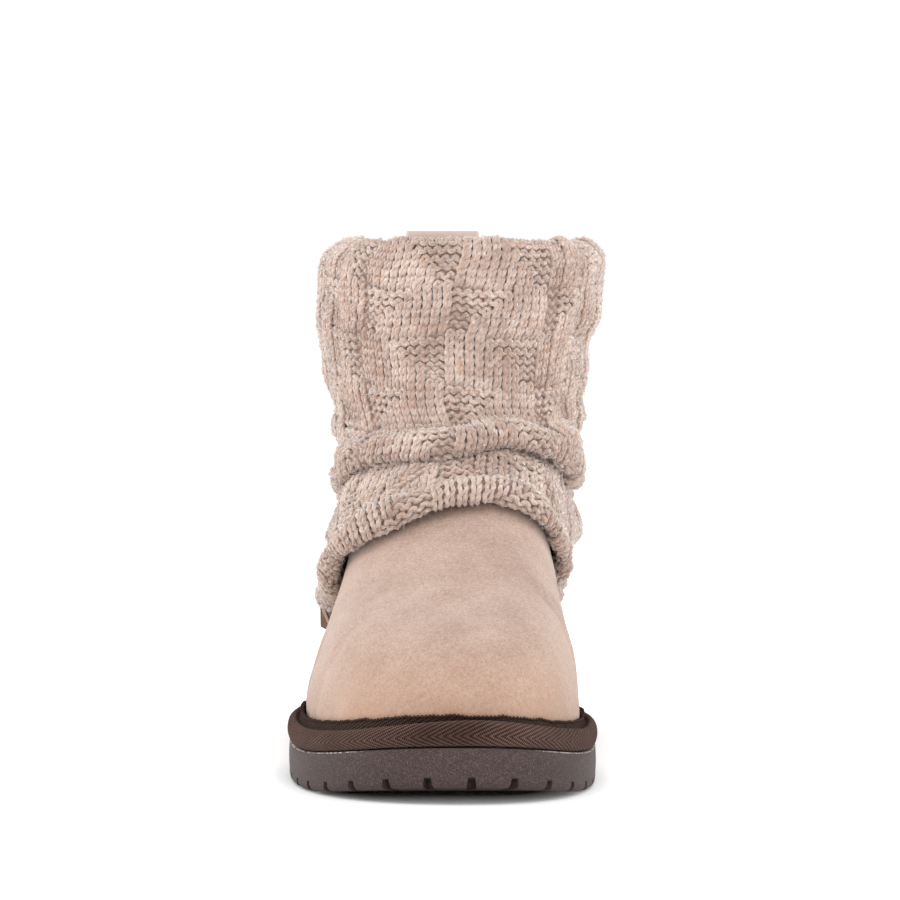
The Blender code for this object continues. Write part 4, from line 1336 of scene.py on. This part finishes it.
def strands(cloth, left, first, count, heads_up, seed):
    """Centres, directions, live samples and lie of the yarn of some courses. Its path swings sideways
    by the sine of twice its phase, up and down by the cosine, and in and out by the cosine of twice
    its phase, which a knit stitch takes with one sign and a purl stitch with the other."""
    normals = grid_normals(cloth)
    wobble = np.random.default_rng(seed)
    courses = first + np.arange(count)
    kinds = chart_rows(first, count + 1)
    relief = relief_of(chart_rows(0, first + count + 4))[first : first + count]
    k = np.arange(WALES * SAMPLES)
    phase = 2 * math.pi * k / SAMPLES
    loose = 1 + LOOSENESS * np.clip(wobble.standard_normal((count, WALES)), -LOOSEST, LOOSEST)
    loose = np.repeat(loose, SAMPLES, axis=1)
    rise = CLIMB * np.cos(phase)[None] * (0.6 + 0.4 * loose)
    sway = SWING * np.sin(2 * phase)[None] * loose - GATHER * np.sin(phase)[None]
    row = (courses[:, None] - rise if heads_up else courses[:, None] + rise) * 2
    column = (k / SAMPLES + sway + SHIFT * wobble.standard_normal((count, 1))) * 3
    nearest = (k // SAMPLES) % WALES
    past = k / SAMPLES - k // SAMPLES
    turned = ease((past - 0.5) / STITCH_TURN + 0.5)

    def by_stitch(values):
        """A value of each stitch, blended half way to the next one."""
        return values[:, nearest] * (1 - turned) + values[:, (nearest + 1) % WALES] * turned

    after = np.vstack([kinds[:1], kinds[:-2]]) if heads_up else kinds[1:]
    head = ease((np.cos(phase) - HEAD_FROM) / HEAD_FADE)[None]
    kind = by_stitch(kinds[:-1]) * (1 - head) + by_stitch(after) * head
    depth = -DEPTH * kind * np.cos(2 * phase)[None]
    loft = np.repeat(wobble.standard_normal((count, WALES)), SAMPLES, axis=1)
    loft = (loft + np.roll(loft, 3, axis=1) + np.roll(loft, -3, axis=1)) / 3
    out = depth + by_stitch(relief) + LOFT * loft
    direction = unit(read_grid(normals, row, column))
    centre = read_grid(cloth, row, column) + direction * out[..., None]
    course_row = np.broadcast_to(courses[:, None] * 2.0, row.shape)
    live = read_grid(left[..., None], course_row, column)[..., 0] > LEAST_CLOTH
    return centre, direction, live, out


print("yarn of", YARN * 2000, "mm in loops of", SAMPLES, "samples")

# %% Tubes round the strands


def tube_points(centre, normal, live, radius):
    """Rings of five points round each strand, pinched where the strand ends."""
    along = unit(np.roll(centre, -1, axis=1) - np.roll(centre, 1, axis=1))
    side = unit(np.cross(along, normal))
    inner = live & np.roll(live, 1, axis=1) & np.roll(live, -1, axis=1)
    size = np.where(inner, radius, radius * 0.05)[..., None, None]
    return centre[:, :, None] + ring_around(side, np.cross(side, along), sides) * size


def tube_faces(live, length):
    """Faces and UV of the strands of some courses, left out where there is no cloth. The UV counts
    millimetres along the strand and shares of a turn round it."""
    along = WALES * SAMPLES
    k, s = np.meshgrid(np.arange(along), np.arange(SIDES), indexing="ij")
    corner_k = np.stack([k, k + 1, k + 1, k], axis=-1).reshape(-1, 4)
    corner_s = np.stack([s, s, s + 1, s + 1], axis=-1).reshape(-1, 4)
    ring = (corner_k % along) * SIDES + corner_s % SIDES
    faces, uv = [], []
    for course, (alive, run_mm) in enumerate(zip(live, length)):
        keep = alive[corner_k[:, 0] % along] & alive[corner_k[:, 1] % along]
        faces.append(ring[keep] + course * along * SIDES)
        uv.append(np.stack([run_mm[corner_k[keep]], corner_s[keep] / SIDES], axis=-1))
    return np.concatenate(faces), np.concatenate(uv)


print("tubes of", SIDES, "sides")

# %% One piece of knitting
STREAK_SHIFT = 37.0  # millimetres of UV from strand to strand, so that no two show the same streaks


def knit_object(name, cloth, left, first, count, heads_up, seed):
    """One piece of knitting: some courses of yarn as closed tubes."""
    centre, normal, live, out = strands(cloth, left, first, count, heads_up, seed)
    uneven = 1 + rough(centre, (0.14, 0.004, 41), (0.06, 0.0015, 42))
    points = tube_points(centre, normal, live, YARN * uneven)
    lie = out[..., None] + YARN * uneven[..., None] * np.sin(sides)
    length = np.cumsum(np.linalg.norm(np.roll(centre, -1, axis=1) - centre, axis=2), axis=1)
    length = np.hstack([np.zeros((count, 1)), length]) * 1000 + np.arange(count)[:, None] * STREAK_SHIFT
    faces, uv = tube_faces(live, length)
    used = np.unique(faces)
    renumber = np.zeros(points[..., 0].size, int)
    renumber[used] = np.arange(len(used))
    kept = points.reshape(-1, 3)[used] + MOVE
    made = mesh_object(name, kept, renumber[faces], uv, wool, "wool_knit")
    height = made.data.attributes.new("lie", "FLOAT", "POINT")
    height.data.foreach_set("value", lie.reshape(-1)[used].astype(np.float32))
    return made, centre, normal, live


print("a full course has", WALES * SAMPLES * SIDES * 2, "triangles")

# %% [markdown]
# ### Wool
#
# The wool is heather: it was spun from fibres of four dyed colours, so each blends into the next in
# patches a few millimetres long. The strand is three plies, with painted shade in the grooves between
# them, and loose streaks, tan and pale, along them. The backing is the same wool, darkened as painted
# shade, seen deep between the loops. It is a thin wall just under the yarn, because a cloth of open
# tubes alone would let the suede shine through.

# %% Group: heather, wool spun from four dyed colours
HEATHER, takes, gives = new_group(
    "heather", [("Vector", "Vector", None), ("Scale", "Float", 260.0), ("Strength", "Float", 1.0)],
    [("Color", "Color")],
)
spot, size, strong = (takes.outputs[k] for k in ("Vector", "Scale", "Strength"))
ground = remap(HEATHER, noise(HEATHER, spot, times(HEATHER, size, 0.3), 3.0), 0.38, 0.62)
blended = blend_colours(HEATHER, ground, shade(173, 147, 133), shade(208, 186, 173))
# each dye: how far its patches are moved and scaled, where they begin and are full, and its colour
DYES = [
    (1.0, 0.55, 0.68, (190, 150, 122)), (1.31, 0.55, 0.68, (156, 127, 118)),
    (1.63, 0.59, 0.72, (228, 210, 199)),
]
for shift, low, high, dye in DYES:
    place = {"Vector": spot, "Location": (shift, shift * 2, 0.0)}
    moved = add(HEATHER, "ShaderNodeMapping", place).outputs[0]
    patch = remap(HEATHER, noise(HEATHER, moved, times(HEATHER, size, shift), 2.5, 0.6), low, high)
    blended = blend_colours(HEATHER, times(HEATHER, patch, strong), blended, shade(*dye))
HEATHER.links.new(blended, gives.inputs["Color"])
print("group", HEATHER.name, "with", len(HEATHER.nodes), "nodes")


def heathered(tree, scale):
    """The heather group in a material."""
    values = {"Vector": place_vector(tree), "Scale": scale, "Strength": 0.7}
    return add(tree, "ShaderNodeGroup", values, node_tree=HEATHER).outputs["Color"]


# %% Wool yarn finish
wool, tree = start_material(
    "wool_knit", 0.95, Sheen_Weight=1.0, Sheen_Roughness=0.5, Sheen_Tint=(1.0, 0.99, 0.99, 1.0),
    Specular_IOR_Level=0.05,
)
strand = spun(tree, 1.3, 3.0, 0.55)
colour = heathered(tree, 230.0)
tan = remap(tree, strand["Streaks"], 0.55, 0.70)
colour = blend_colours(tree, times(tree, tan, 0.6), colour, shade(172, 130, 104))
pale = remap(tree, strand["Streaks"], 0.45, 0.30)
colour = blend_colours(tree, times(tree, pale, 0.4), colour, shade(230, 213, 202))
# Painted shade in the grooves between the plies.
groove = remap(tree, strand["Plies"], 0.0, 0.45, 0.40, 0.0)
colour = blend_colours(tree, groove, colour, shade(134, 101, 86))
# Painted shade: the wool darkens where the yarn lies deep in the cloth.
lie = add(tree, "ShaderNodeAttribute", attribute_name="lie").outputs["Fac"]
colour = blend_colours(tree, remap(tree, lie, 0.0010, -0.0006, 0.0, 0.58), colour, shade(124, 94, 80))
height = plus(tree, strand["Plies"], times(tree, strand["Streaks"], 0.7))
finish_material(wool, colour, height, 0.7, 0.0003)

# %% Backing finish, darker than the yarn: painted shade
backing_shade_wool, tree = start_material("wool_backing_shade", 1.0, Specular_IOR_Level=0.05)
where = place_vector(tree)
# Painted shade: the backing is darker than the yarn, and stands for the shade deep between the loops.
colour = mottled(tree, where, 60.0, 800.0, 2.0, (130, 105, 94), (166, 141, 129))
finish_material(backing_shade_wool, colour, nap(tree, where, 1100.0, 1.0), 0.8, 0.0006)

# %% Knit the sleeves, a band of courses at a time
upper_courses, lower_courses = len(upper_grid) // 2 - 1, len(lower_grid) // 2 - 1
half = lower_courses // 2
bands = [("upper", 0, 13), ("upper", 13, 13), ("upper", 26, upper_courses - 26)]
bands += [("lower", 0, half), ("lower", half, lower_courses - half)]
sleeves = {"upper": (upper_grid, upper_left), "lower": (lower_grid, lower_left)}
knitted = []
for number, (which, first, count) in enumerate(bands):
    name = f"knit_{which}_{number + 1}"
    knitted.append(knit_object(name, *sleeves[which], first, count, which == "upper", 50 + number))
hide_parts("knit_cuff")

# %% Backing, the inside of the knit that shows between the loops, darkened as painted shade
BACKING_DEPTH, BACKING_THICK = 0.0003, 0.0006
for which, cloth in (("upper", upper_cloth), ("lower", lower_cloth)):
    sparse = cloth[::7]
    normals = grid_normals(sparse)
    near, far = sparse - normals * BACKING_DEPTH, sparse - normals * (BACKING_DEPTH + BACKING_THICK)
    wall = np.concatenate([near, far[::-1]])[:, ::3] + MOVE
    rest = {"close_rows": True, "material": backing_shade_wool, "slot": "wool_knit"}
    grid_object(f"knit_backing_{which}", wall, **rest)


# %% [markdown]
# ## Wool fuzz
#
# Brushed wool stands off its yarn as a halo of loose fibres. A hair system would show it in Blender
# alone, so each fibre is a thin piece of mesh. A quarter of them are long: three triangles that leave
# the yarn outwards, bend, and taper to a point. The rest are short, and one straight triangle each.
# They are too thin to see one by one, and together they soften every edge of the knit.

# %% Fuzz finish, paler than the yarn: painted sheen
fuzz_wool, tree = start_material("wool_fuzz", 1.0, Sheen_Weight=0.4, Specular_IOR_Level=0.05)
# Painted sheen: the fuzz is blended half way to a pale cream, for light caught on the loose fibres.
finish_material(fuzz_wool, blend_colours(tree, 0.5, heathered(tree, 420.0), shade(236, 223, 216)))

# %% Loose fibres
THINNEST, SPARE_WIDTH, FEW_LONG = 0.000036, 0.000030, 2.2
ASTRAY, BEND, KNEE = 0.75, 0.6, 0.12


def fibres(root, out, reach, droop, chance):
    """Five points per fibre: two at the root, two half way, one at the tip, on a bent line. Its length
    is the shortest plus the spare reach times a random share to the power FEW_LONG."""
    count = len(root)
    way = unit(out + ASTRAY * chance.standard_normal((count, 3)))
    length = (reach[0] + (reach[1] - reach[0]) * chance.random(count) ** FEW_LONG)[:, None]
    bend = BEND * chance.standard_normal((count, 3)) - np.array([0, 0, droop])
    width = (THINNEST + SPARE_WIDTH * chance.random(count))[:, None]
    side = unit(np.cross(way, chance.standard_normal((count, 3)))) * width
    middle = root + length * (0.5 * way + KNEE * bend)
    tip = root + length * (way + 0.5 * bend)
    return np.stack([root - side, root + side, middle - side * 0.8, middle + side * 0.8, tip], axis=1)


def fibre_object(name, bent, straight, material, slot):
    """One object of bent fibres, each three triangles, and of straight ones, each one triangle."""
    first = np.arange(len(bent))[:, None, None] * 5
    triangles = (np.array([[0, 1, 3], [0, 3, 2], [2, 3, 4]])[None] + first).reshape(-1, 3)
    short = (np.arange(len(straight) * 3) + len(bent) * 5).reshape(-1, 3)
    points = np.concatenate([bent.reshape(-1, 3), straight.reshape(-1, 3)])
    faces = np.concatenate([triangles, short])
    return mesh_object(name, points + MOVE, faces, None, material, slot, flip=False)


print("fibres from", round(THINNEST * 2000, 3), "mm thick")

# %% Fuzz of the knit
FIBRE_COUNT, BENT_SHARE, YARN_SIDE, ROUND_YARN = 106000, 4, 0.85, 0.9
LONG_REACH, SHORT_REACH = (0.0012, 0.0032), (0.0006, 0.0017)


def yarn_fuzz(centre, normal, live, count, seed):
    """Fibres that start anywhere on the outer half of the yarn of some courses."""
    chance = np.random.default_rng(seed)
    course, sample = np.nonzero(live)
    pick = chance.integers(0, len(course), count)
    root, out = centre[course[pick], sample[pick]], normal[course[pick], sample[pick]]
    root = root + unit(out + ROUND_YARN * chance.standard_normal((count, 3))) * YARN * YARN_SIDE
    long = count // BENT_SHARE
    bent = fibres(root[:long], out[:long], LONG_REACH, 0.25, chance)
    return bent, fibres(root[long:], out[long:], SHORT_REACH, 0.1, chance)[:, [0, 1, 4]]


share_each = FIBRE_COUNT // len(knitted)
hairs = [yarn_fuzz(*strands_of, share_each, 70 + n) for n, (_, *strands_of) in enumerate(knitted)]
bent, straight = (np.concatenate([pair[k] for pair in hairs]) for k in (0, 1))
fibre_object("knit_fuzz", bent, straight, fuzz_wool, "wool_knit")

# %% [markdown]
# ### Frayed lip
#
# The tape's cut lip is frayed: a fringe of dark hairs stands up against the suede. Without it the
# tape would end in a clean line. They are the short fibres of the fuzz, with the tape's own colours.

# %% Frayed lip of the binding tape against the suede
FRAYED_ENDS, LIP_HALF = 4000, 0.0007
chance = np.random.default_rng(90)
lip_row = int(np.argmax(band[:, 1]))
pick, next_row = chance.integers(0, EDGE_POINTS, FRAYED_ENDS), chance.integers(-1, 2, FRAYED_ENDS)
shift = chance.uniform(-LIP_HALF, LIP_HALF, (FRAYED_ENDS, 1))
root = tape_grid[lip_row + next_row, pick] + shift * np.cross(out_of_edge[pick], UP)
fray = fibres(root, UP - 0.2 * out_of_edge[pick], (0.0003, 0.0011), 0.0, chance)
fibre_object("tape_fray", fray[:0], fray[:, [0, 1, 4]], tape_fray, "binding_tape")

# %% [markdown]
# ## Pull loop and hem tab
#
# A suede strap is folded over and sewn inside the back of the collar, to pull the boot on by. Under
# the hem on the outer side hangs a small folded leather tab. Both are straps: a path seen from the
# side, given a thickness, and carried across the strap's width. The cut edges are paler than the
# face, as edges of hide are, and the last rows of the width are drawn in to round them.

# %% Outline and rows of a strap
STRAP_ROWS, ROUNDING, BETWEEN = 18, 0.0004, 0.35
DRAWN_IN = [0.04, 0.72]  # share of the thickness left in the last two rows at each edge


def strap_outline(path, thickness, count):
    """A closed outline round a path of points (across, up), half the thickness off on both sides."""
    path = spaced(path, count)
    along = unit(np.gradient(path, axis=0))
    side = np.stack([along[:, 1], -along[:, 0]], axis=1) * thickness / 2
    return np.concatenate([path + side, (path - side)[::-1]])


def strap_rows(outline, width):
    """The outline repeated across the width, drawn in towards its own middle line near both edges."""
    half = len(outline) // 2
    spine = (outline[:half] + outline[::-1][:half]) / 2
    spine = np.concatenate([spine, spine[::-1]])
    at = np.linspace(-1, 1, STRAP_ROWS) * (width / 2 - ROUNDING)
    near_edge = width / 2 - ROUNDING * BETWEEN
    at = np.concatenate([[-width / 2, -near_edge], at, [near_edge, width / 2]])
    full = np.concatenate([DRAWN_IN, np.ones(STRAP_ROWS), DRAWN_IN[::-1]])
    return at, spine + (outline - spine) * full[:, None, None]


def strap_faces(at, count):
    """Faces and UV of a strap: the grid round its outline, and quads that close its two edges."""
    faces, row, column = grid_faces(len(at), count)
    share = (at - at[0]) / (at[-1] - at[0])
    uv = np.stack([(column + 0.5) / (count + 1), share[row]], axis=-1)
    first = np.arange(count // 2 - 1)
    cap = np.stack([first, first + 1, count - 2 - first, count - 1 - first], axis=1)
    faces = np.concatenate([faces, cap, cap + (len(at) - 1) * count])
    cap_uv = np.zeros((2 * len(cap), 4, 2))
    cap_uv[len(cap) :, :, 1] = 1.0
    return faces, np.concatenate([uv, cap_uv])


print("a strap has", STRAP_ROWS + 4, "rows")

# %% Strap in place


def place_strap(name, outline, width, across_axis, origin, finish, slot, shaped=None):
    """Carries an outline across a width along x or y, lets shaped move the points, and puts them
    where the strap hangs."""
    at, rows = strap_rows(outline, width)
    points = np.zeros((len(at), len(outline), 3))
    points[..., across_axis] = at[:, None]
    points[..., 1 - across_axis] = rows[..., 0]
    points[..., 2] = rows[..., 1]
    if shaped:
        points = shaped(points)
    faces, uv = strap_faces(at, len(outline))
    return mesh_object(name, points + origin, faces, uv, finish, slot)


# %% Strap finishes


def strap_material(name, face_colours, inside, cut_edge, roughness, bump_scale, **constants):
    """A strap's finish: mottled faces, the hide's other side inside the fold, where the UV is over a
    half along the outline, and a cut edge where the UV nears 0 or 1 across the width."""
    made, tree = start_material(name, roughness, **constants)
    where, surface = place_vector(tree), surface_vector(tree)
    colour = mottled(tree, where, 90.0, 700.0, 1.8, *face_colours)
    parts = axes(tree, surface)
    within = remap(tree, parts["X"], 0.49, 0.51, 0.0, 0.8)
    colour = blend_colours(tree, within, colour, shade(*inside))
    middle = distance_from(tree, parts["Y"], 0.5)
    ragged = times(tree, calc(tree, "SUBTRACT", noise(tree, where, 1500.0, 2.0), 0.5), 0.03)
    at_edge = remap(tree, plus(tree, middle, ragged), 0.462, 0.485)
    colour = blend_colours(tree, at_edge, colour, shade(*cut_edge))
    finish_material(made, colour, nap(tree, where, bump_scale, 0.6), 0.45, 0.0004)
    return made


loop_finish = strap_material(
    "suede_strap", ((182, 158, 146), (210, 190, 179)), (184, 160, 147), (214, 198, 188), 0.9, 2600.0,
    Sheen_Weight=0.35, Specular_IOR_Level=0.15,
)
tab_finish = strap_material(
    "leather_tab", ((66, 46, 37), (94, 70, 58)), (92, 52, 24), (206, 182, 160), 0.65, 1700.0,
    Specular_IOR_Level=0.2,
)

# %% Pull loop
loop_low, loop_high = np.array(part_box("pull_loop"))
rear, crest = loop_high[1], loop_high[2]
half_gap, strap_thick = 0.0023, 0.0016
turn = np.linspace(0, math.pi, 13)
over = np.stack([half_gap * np.cos(turn), crest - strap_thick / 2 - half_gap * (1 - np.sin(turn))], axis=1)
legs = np.array([(0.0011, loop_low[2]), (0.0011, crest - 0.0088), (0.0019, crest - 0.0052)])
path = np.concatenate([legs, over[1:-1], legs[::-1] * np.array([-1, 1])])
outline = strap_outline(path, strap_thick, 54)
origin = np.array([(loop_low[0] + loop_high[0]) / 2, rear - 0.0031, 0.0])
width = loop_high[0] - loop_low[0]
pull_loop = place_strap("pull_loop_strap", outline, width, 0, origin, loop_finish, "suede_trim")
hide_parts("pull_loop")

# %% Hem tab
TAB_FLARE, TAB_CUT, TAB_TALL = 0.0044, 0.85, 0.0062
tab_low, tab_high = np.array(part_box("hem_tab"))
half_gap, strap_thick = 0.0005, 0.0008
turn = np.linspace(0, math.pi, 11)
fold_at = tab_low[2] + 0.0001 + strap_thick / 2
under = np.stack([half_gap * np.cos(turn), fold_at + half_gap * (1 - np.sin(turn))], axis=1)
path = np.concatenate([[(half_gap, tab_high[2] + 0.001)], under, [(-half_gap, tab_high[2] + 0.001)]])
outline = strap_outline(path, strap_thick, 34)


def tab_shape(points):
    """The tab flares out of the boot towards its back edge, and its outer leaf is cut on a slant."""
    across = (points[..., 1] - points[..., 1].min()) / np.ptp(points[..., 1])
    up = np.clip((points[..., 2] - fold_at) / TAB_TALL, 0, 1)
    cut = TAB_CUT * up * ease(0.5 - points[..., 0] / 0.0004)
    across = across * (1 - cut) + cut
    shaped = points.copy()
    shaped[..., 1] = points[..., 1].min() + across * np.ptp(points[..., 1])
    shaped[..., 0] -= TAB_FLARE * across
    return shaped


origin = np.array([-0.0405, (tab_low[1] + tab_high[1]) / 2, 0.0])
width = tab_high[1] - tab_low[1]
hem_tab = place_strap("hem_tab_strap", outline, width, 1, origin, tab_finish, "tan_leather", tab_shape)
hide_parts("hem_tab")

# %% [markdown]
# ## Floor and sizes
#
# The boot stands on a plain white floor, lit like paper that is brighter away from the boot. A soft
# ellipse round the boot keeps its contact shadow. The last lines note both boxes.

# %% Floor finish
FOOT_CENTRE, FOOT_HALF, PAPER_GLOW = (0.08, 0.0, 0.0), (0.048, 0.124), 0.50
floor_finish, tree = start_material(
    "studio_floor", 0.8, Specular_IOR_Level=0.1, Emission_Strength=PAPER_GLOW
)
where = place_vector(tree)
finish_material(floor_finish, mottled(tree, where, 3.0, 40.0, 0.2, (236, 236, 236), (240, 240, 240)))
ellipse = {"Vector": where, "Location": FOOT_CENTRE, "Scale": (1 / FOOT_HALF[0], 1 / FOOT_HALF[1], 0.0)}
footprint = add(tree, "ShaderNodeMapping", ellipse).outputs[0]
squared = add(tree, "ShaderNodeVectorMath", {0: footprint, 1: footprint}, operation="MULTIPLY").outputs[0]
away = add(tree, "ShaderNodeVectorMath", {0: squared}, operation="LENGTH").outputs["Value"]
glow = blend_colours(tree, remap(tree, away, 0.75, 2.2), (0, 0, 0, 1), (1, 1, 1, 1))
tree.links.new(glow, tree.nodes["Principled BSDF"].inputs["Emission Color"])
print("shadow kept within", FOOT_HALF, "m of the boot's middle")

# %% Floor
FLOOR_HALF = 28.0
corners = [(-FLOOR_HALF, -FLOOR_HALF, 0), (FLOOR_HALF, -FLOOR_HALF, 0)]
corners += [(-FLOOR_HALF, FLOOR_HALF, 0), (FLOOR_HALF, FLOOR_HALF, 0)]
mesh = bpy.data.meshes.new("studio_floor")
mesh.from_pydata(corners, [], [(0, 1, 3, 2)])
mesh.materials.append(floor_finish)
floor = bpy.data.objects.new("studio_floor", mesh)
bpy.context.scene.collection.objects.link(floor)
floor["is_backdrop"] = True
print("floor", 2 * FLOOR_HALF, "m across")

# %% Sizes
boxes = {"cad": CAD_BOX, "visual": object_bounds()}
boxes = {name: [[float(value) for value in corner] for corner in box] for name, box in boxes.items()}
for name, (low, high) in boxes.items():
    print(name, "box in mm", [round((b - a) * 1000, 1) for a, b in zip(low, high)])
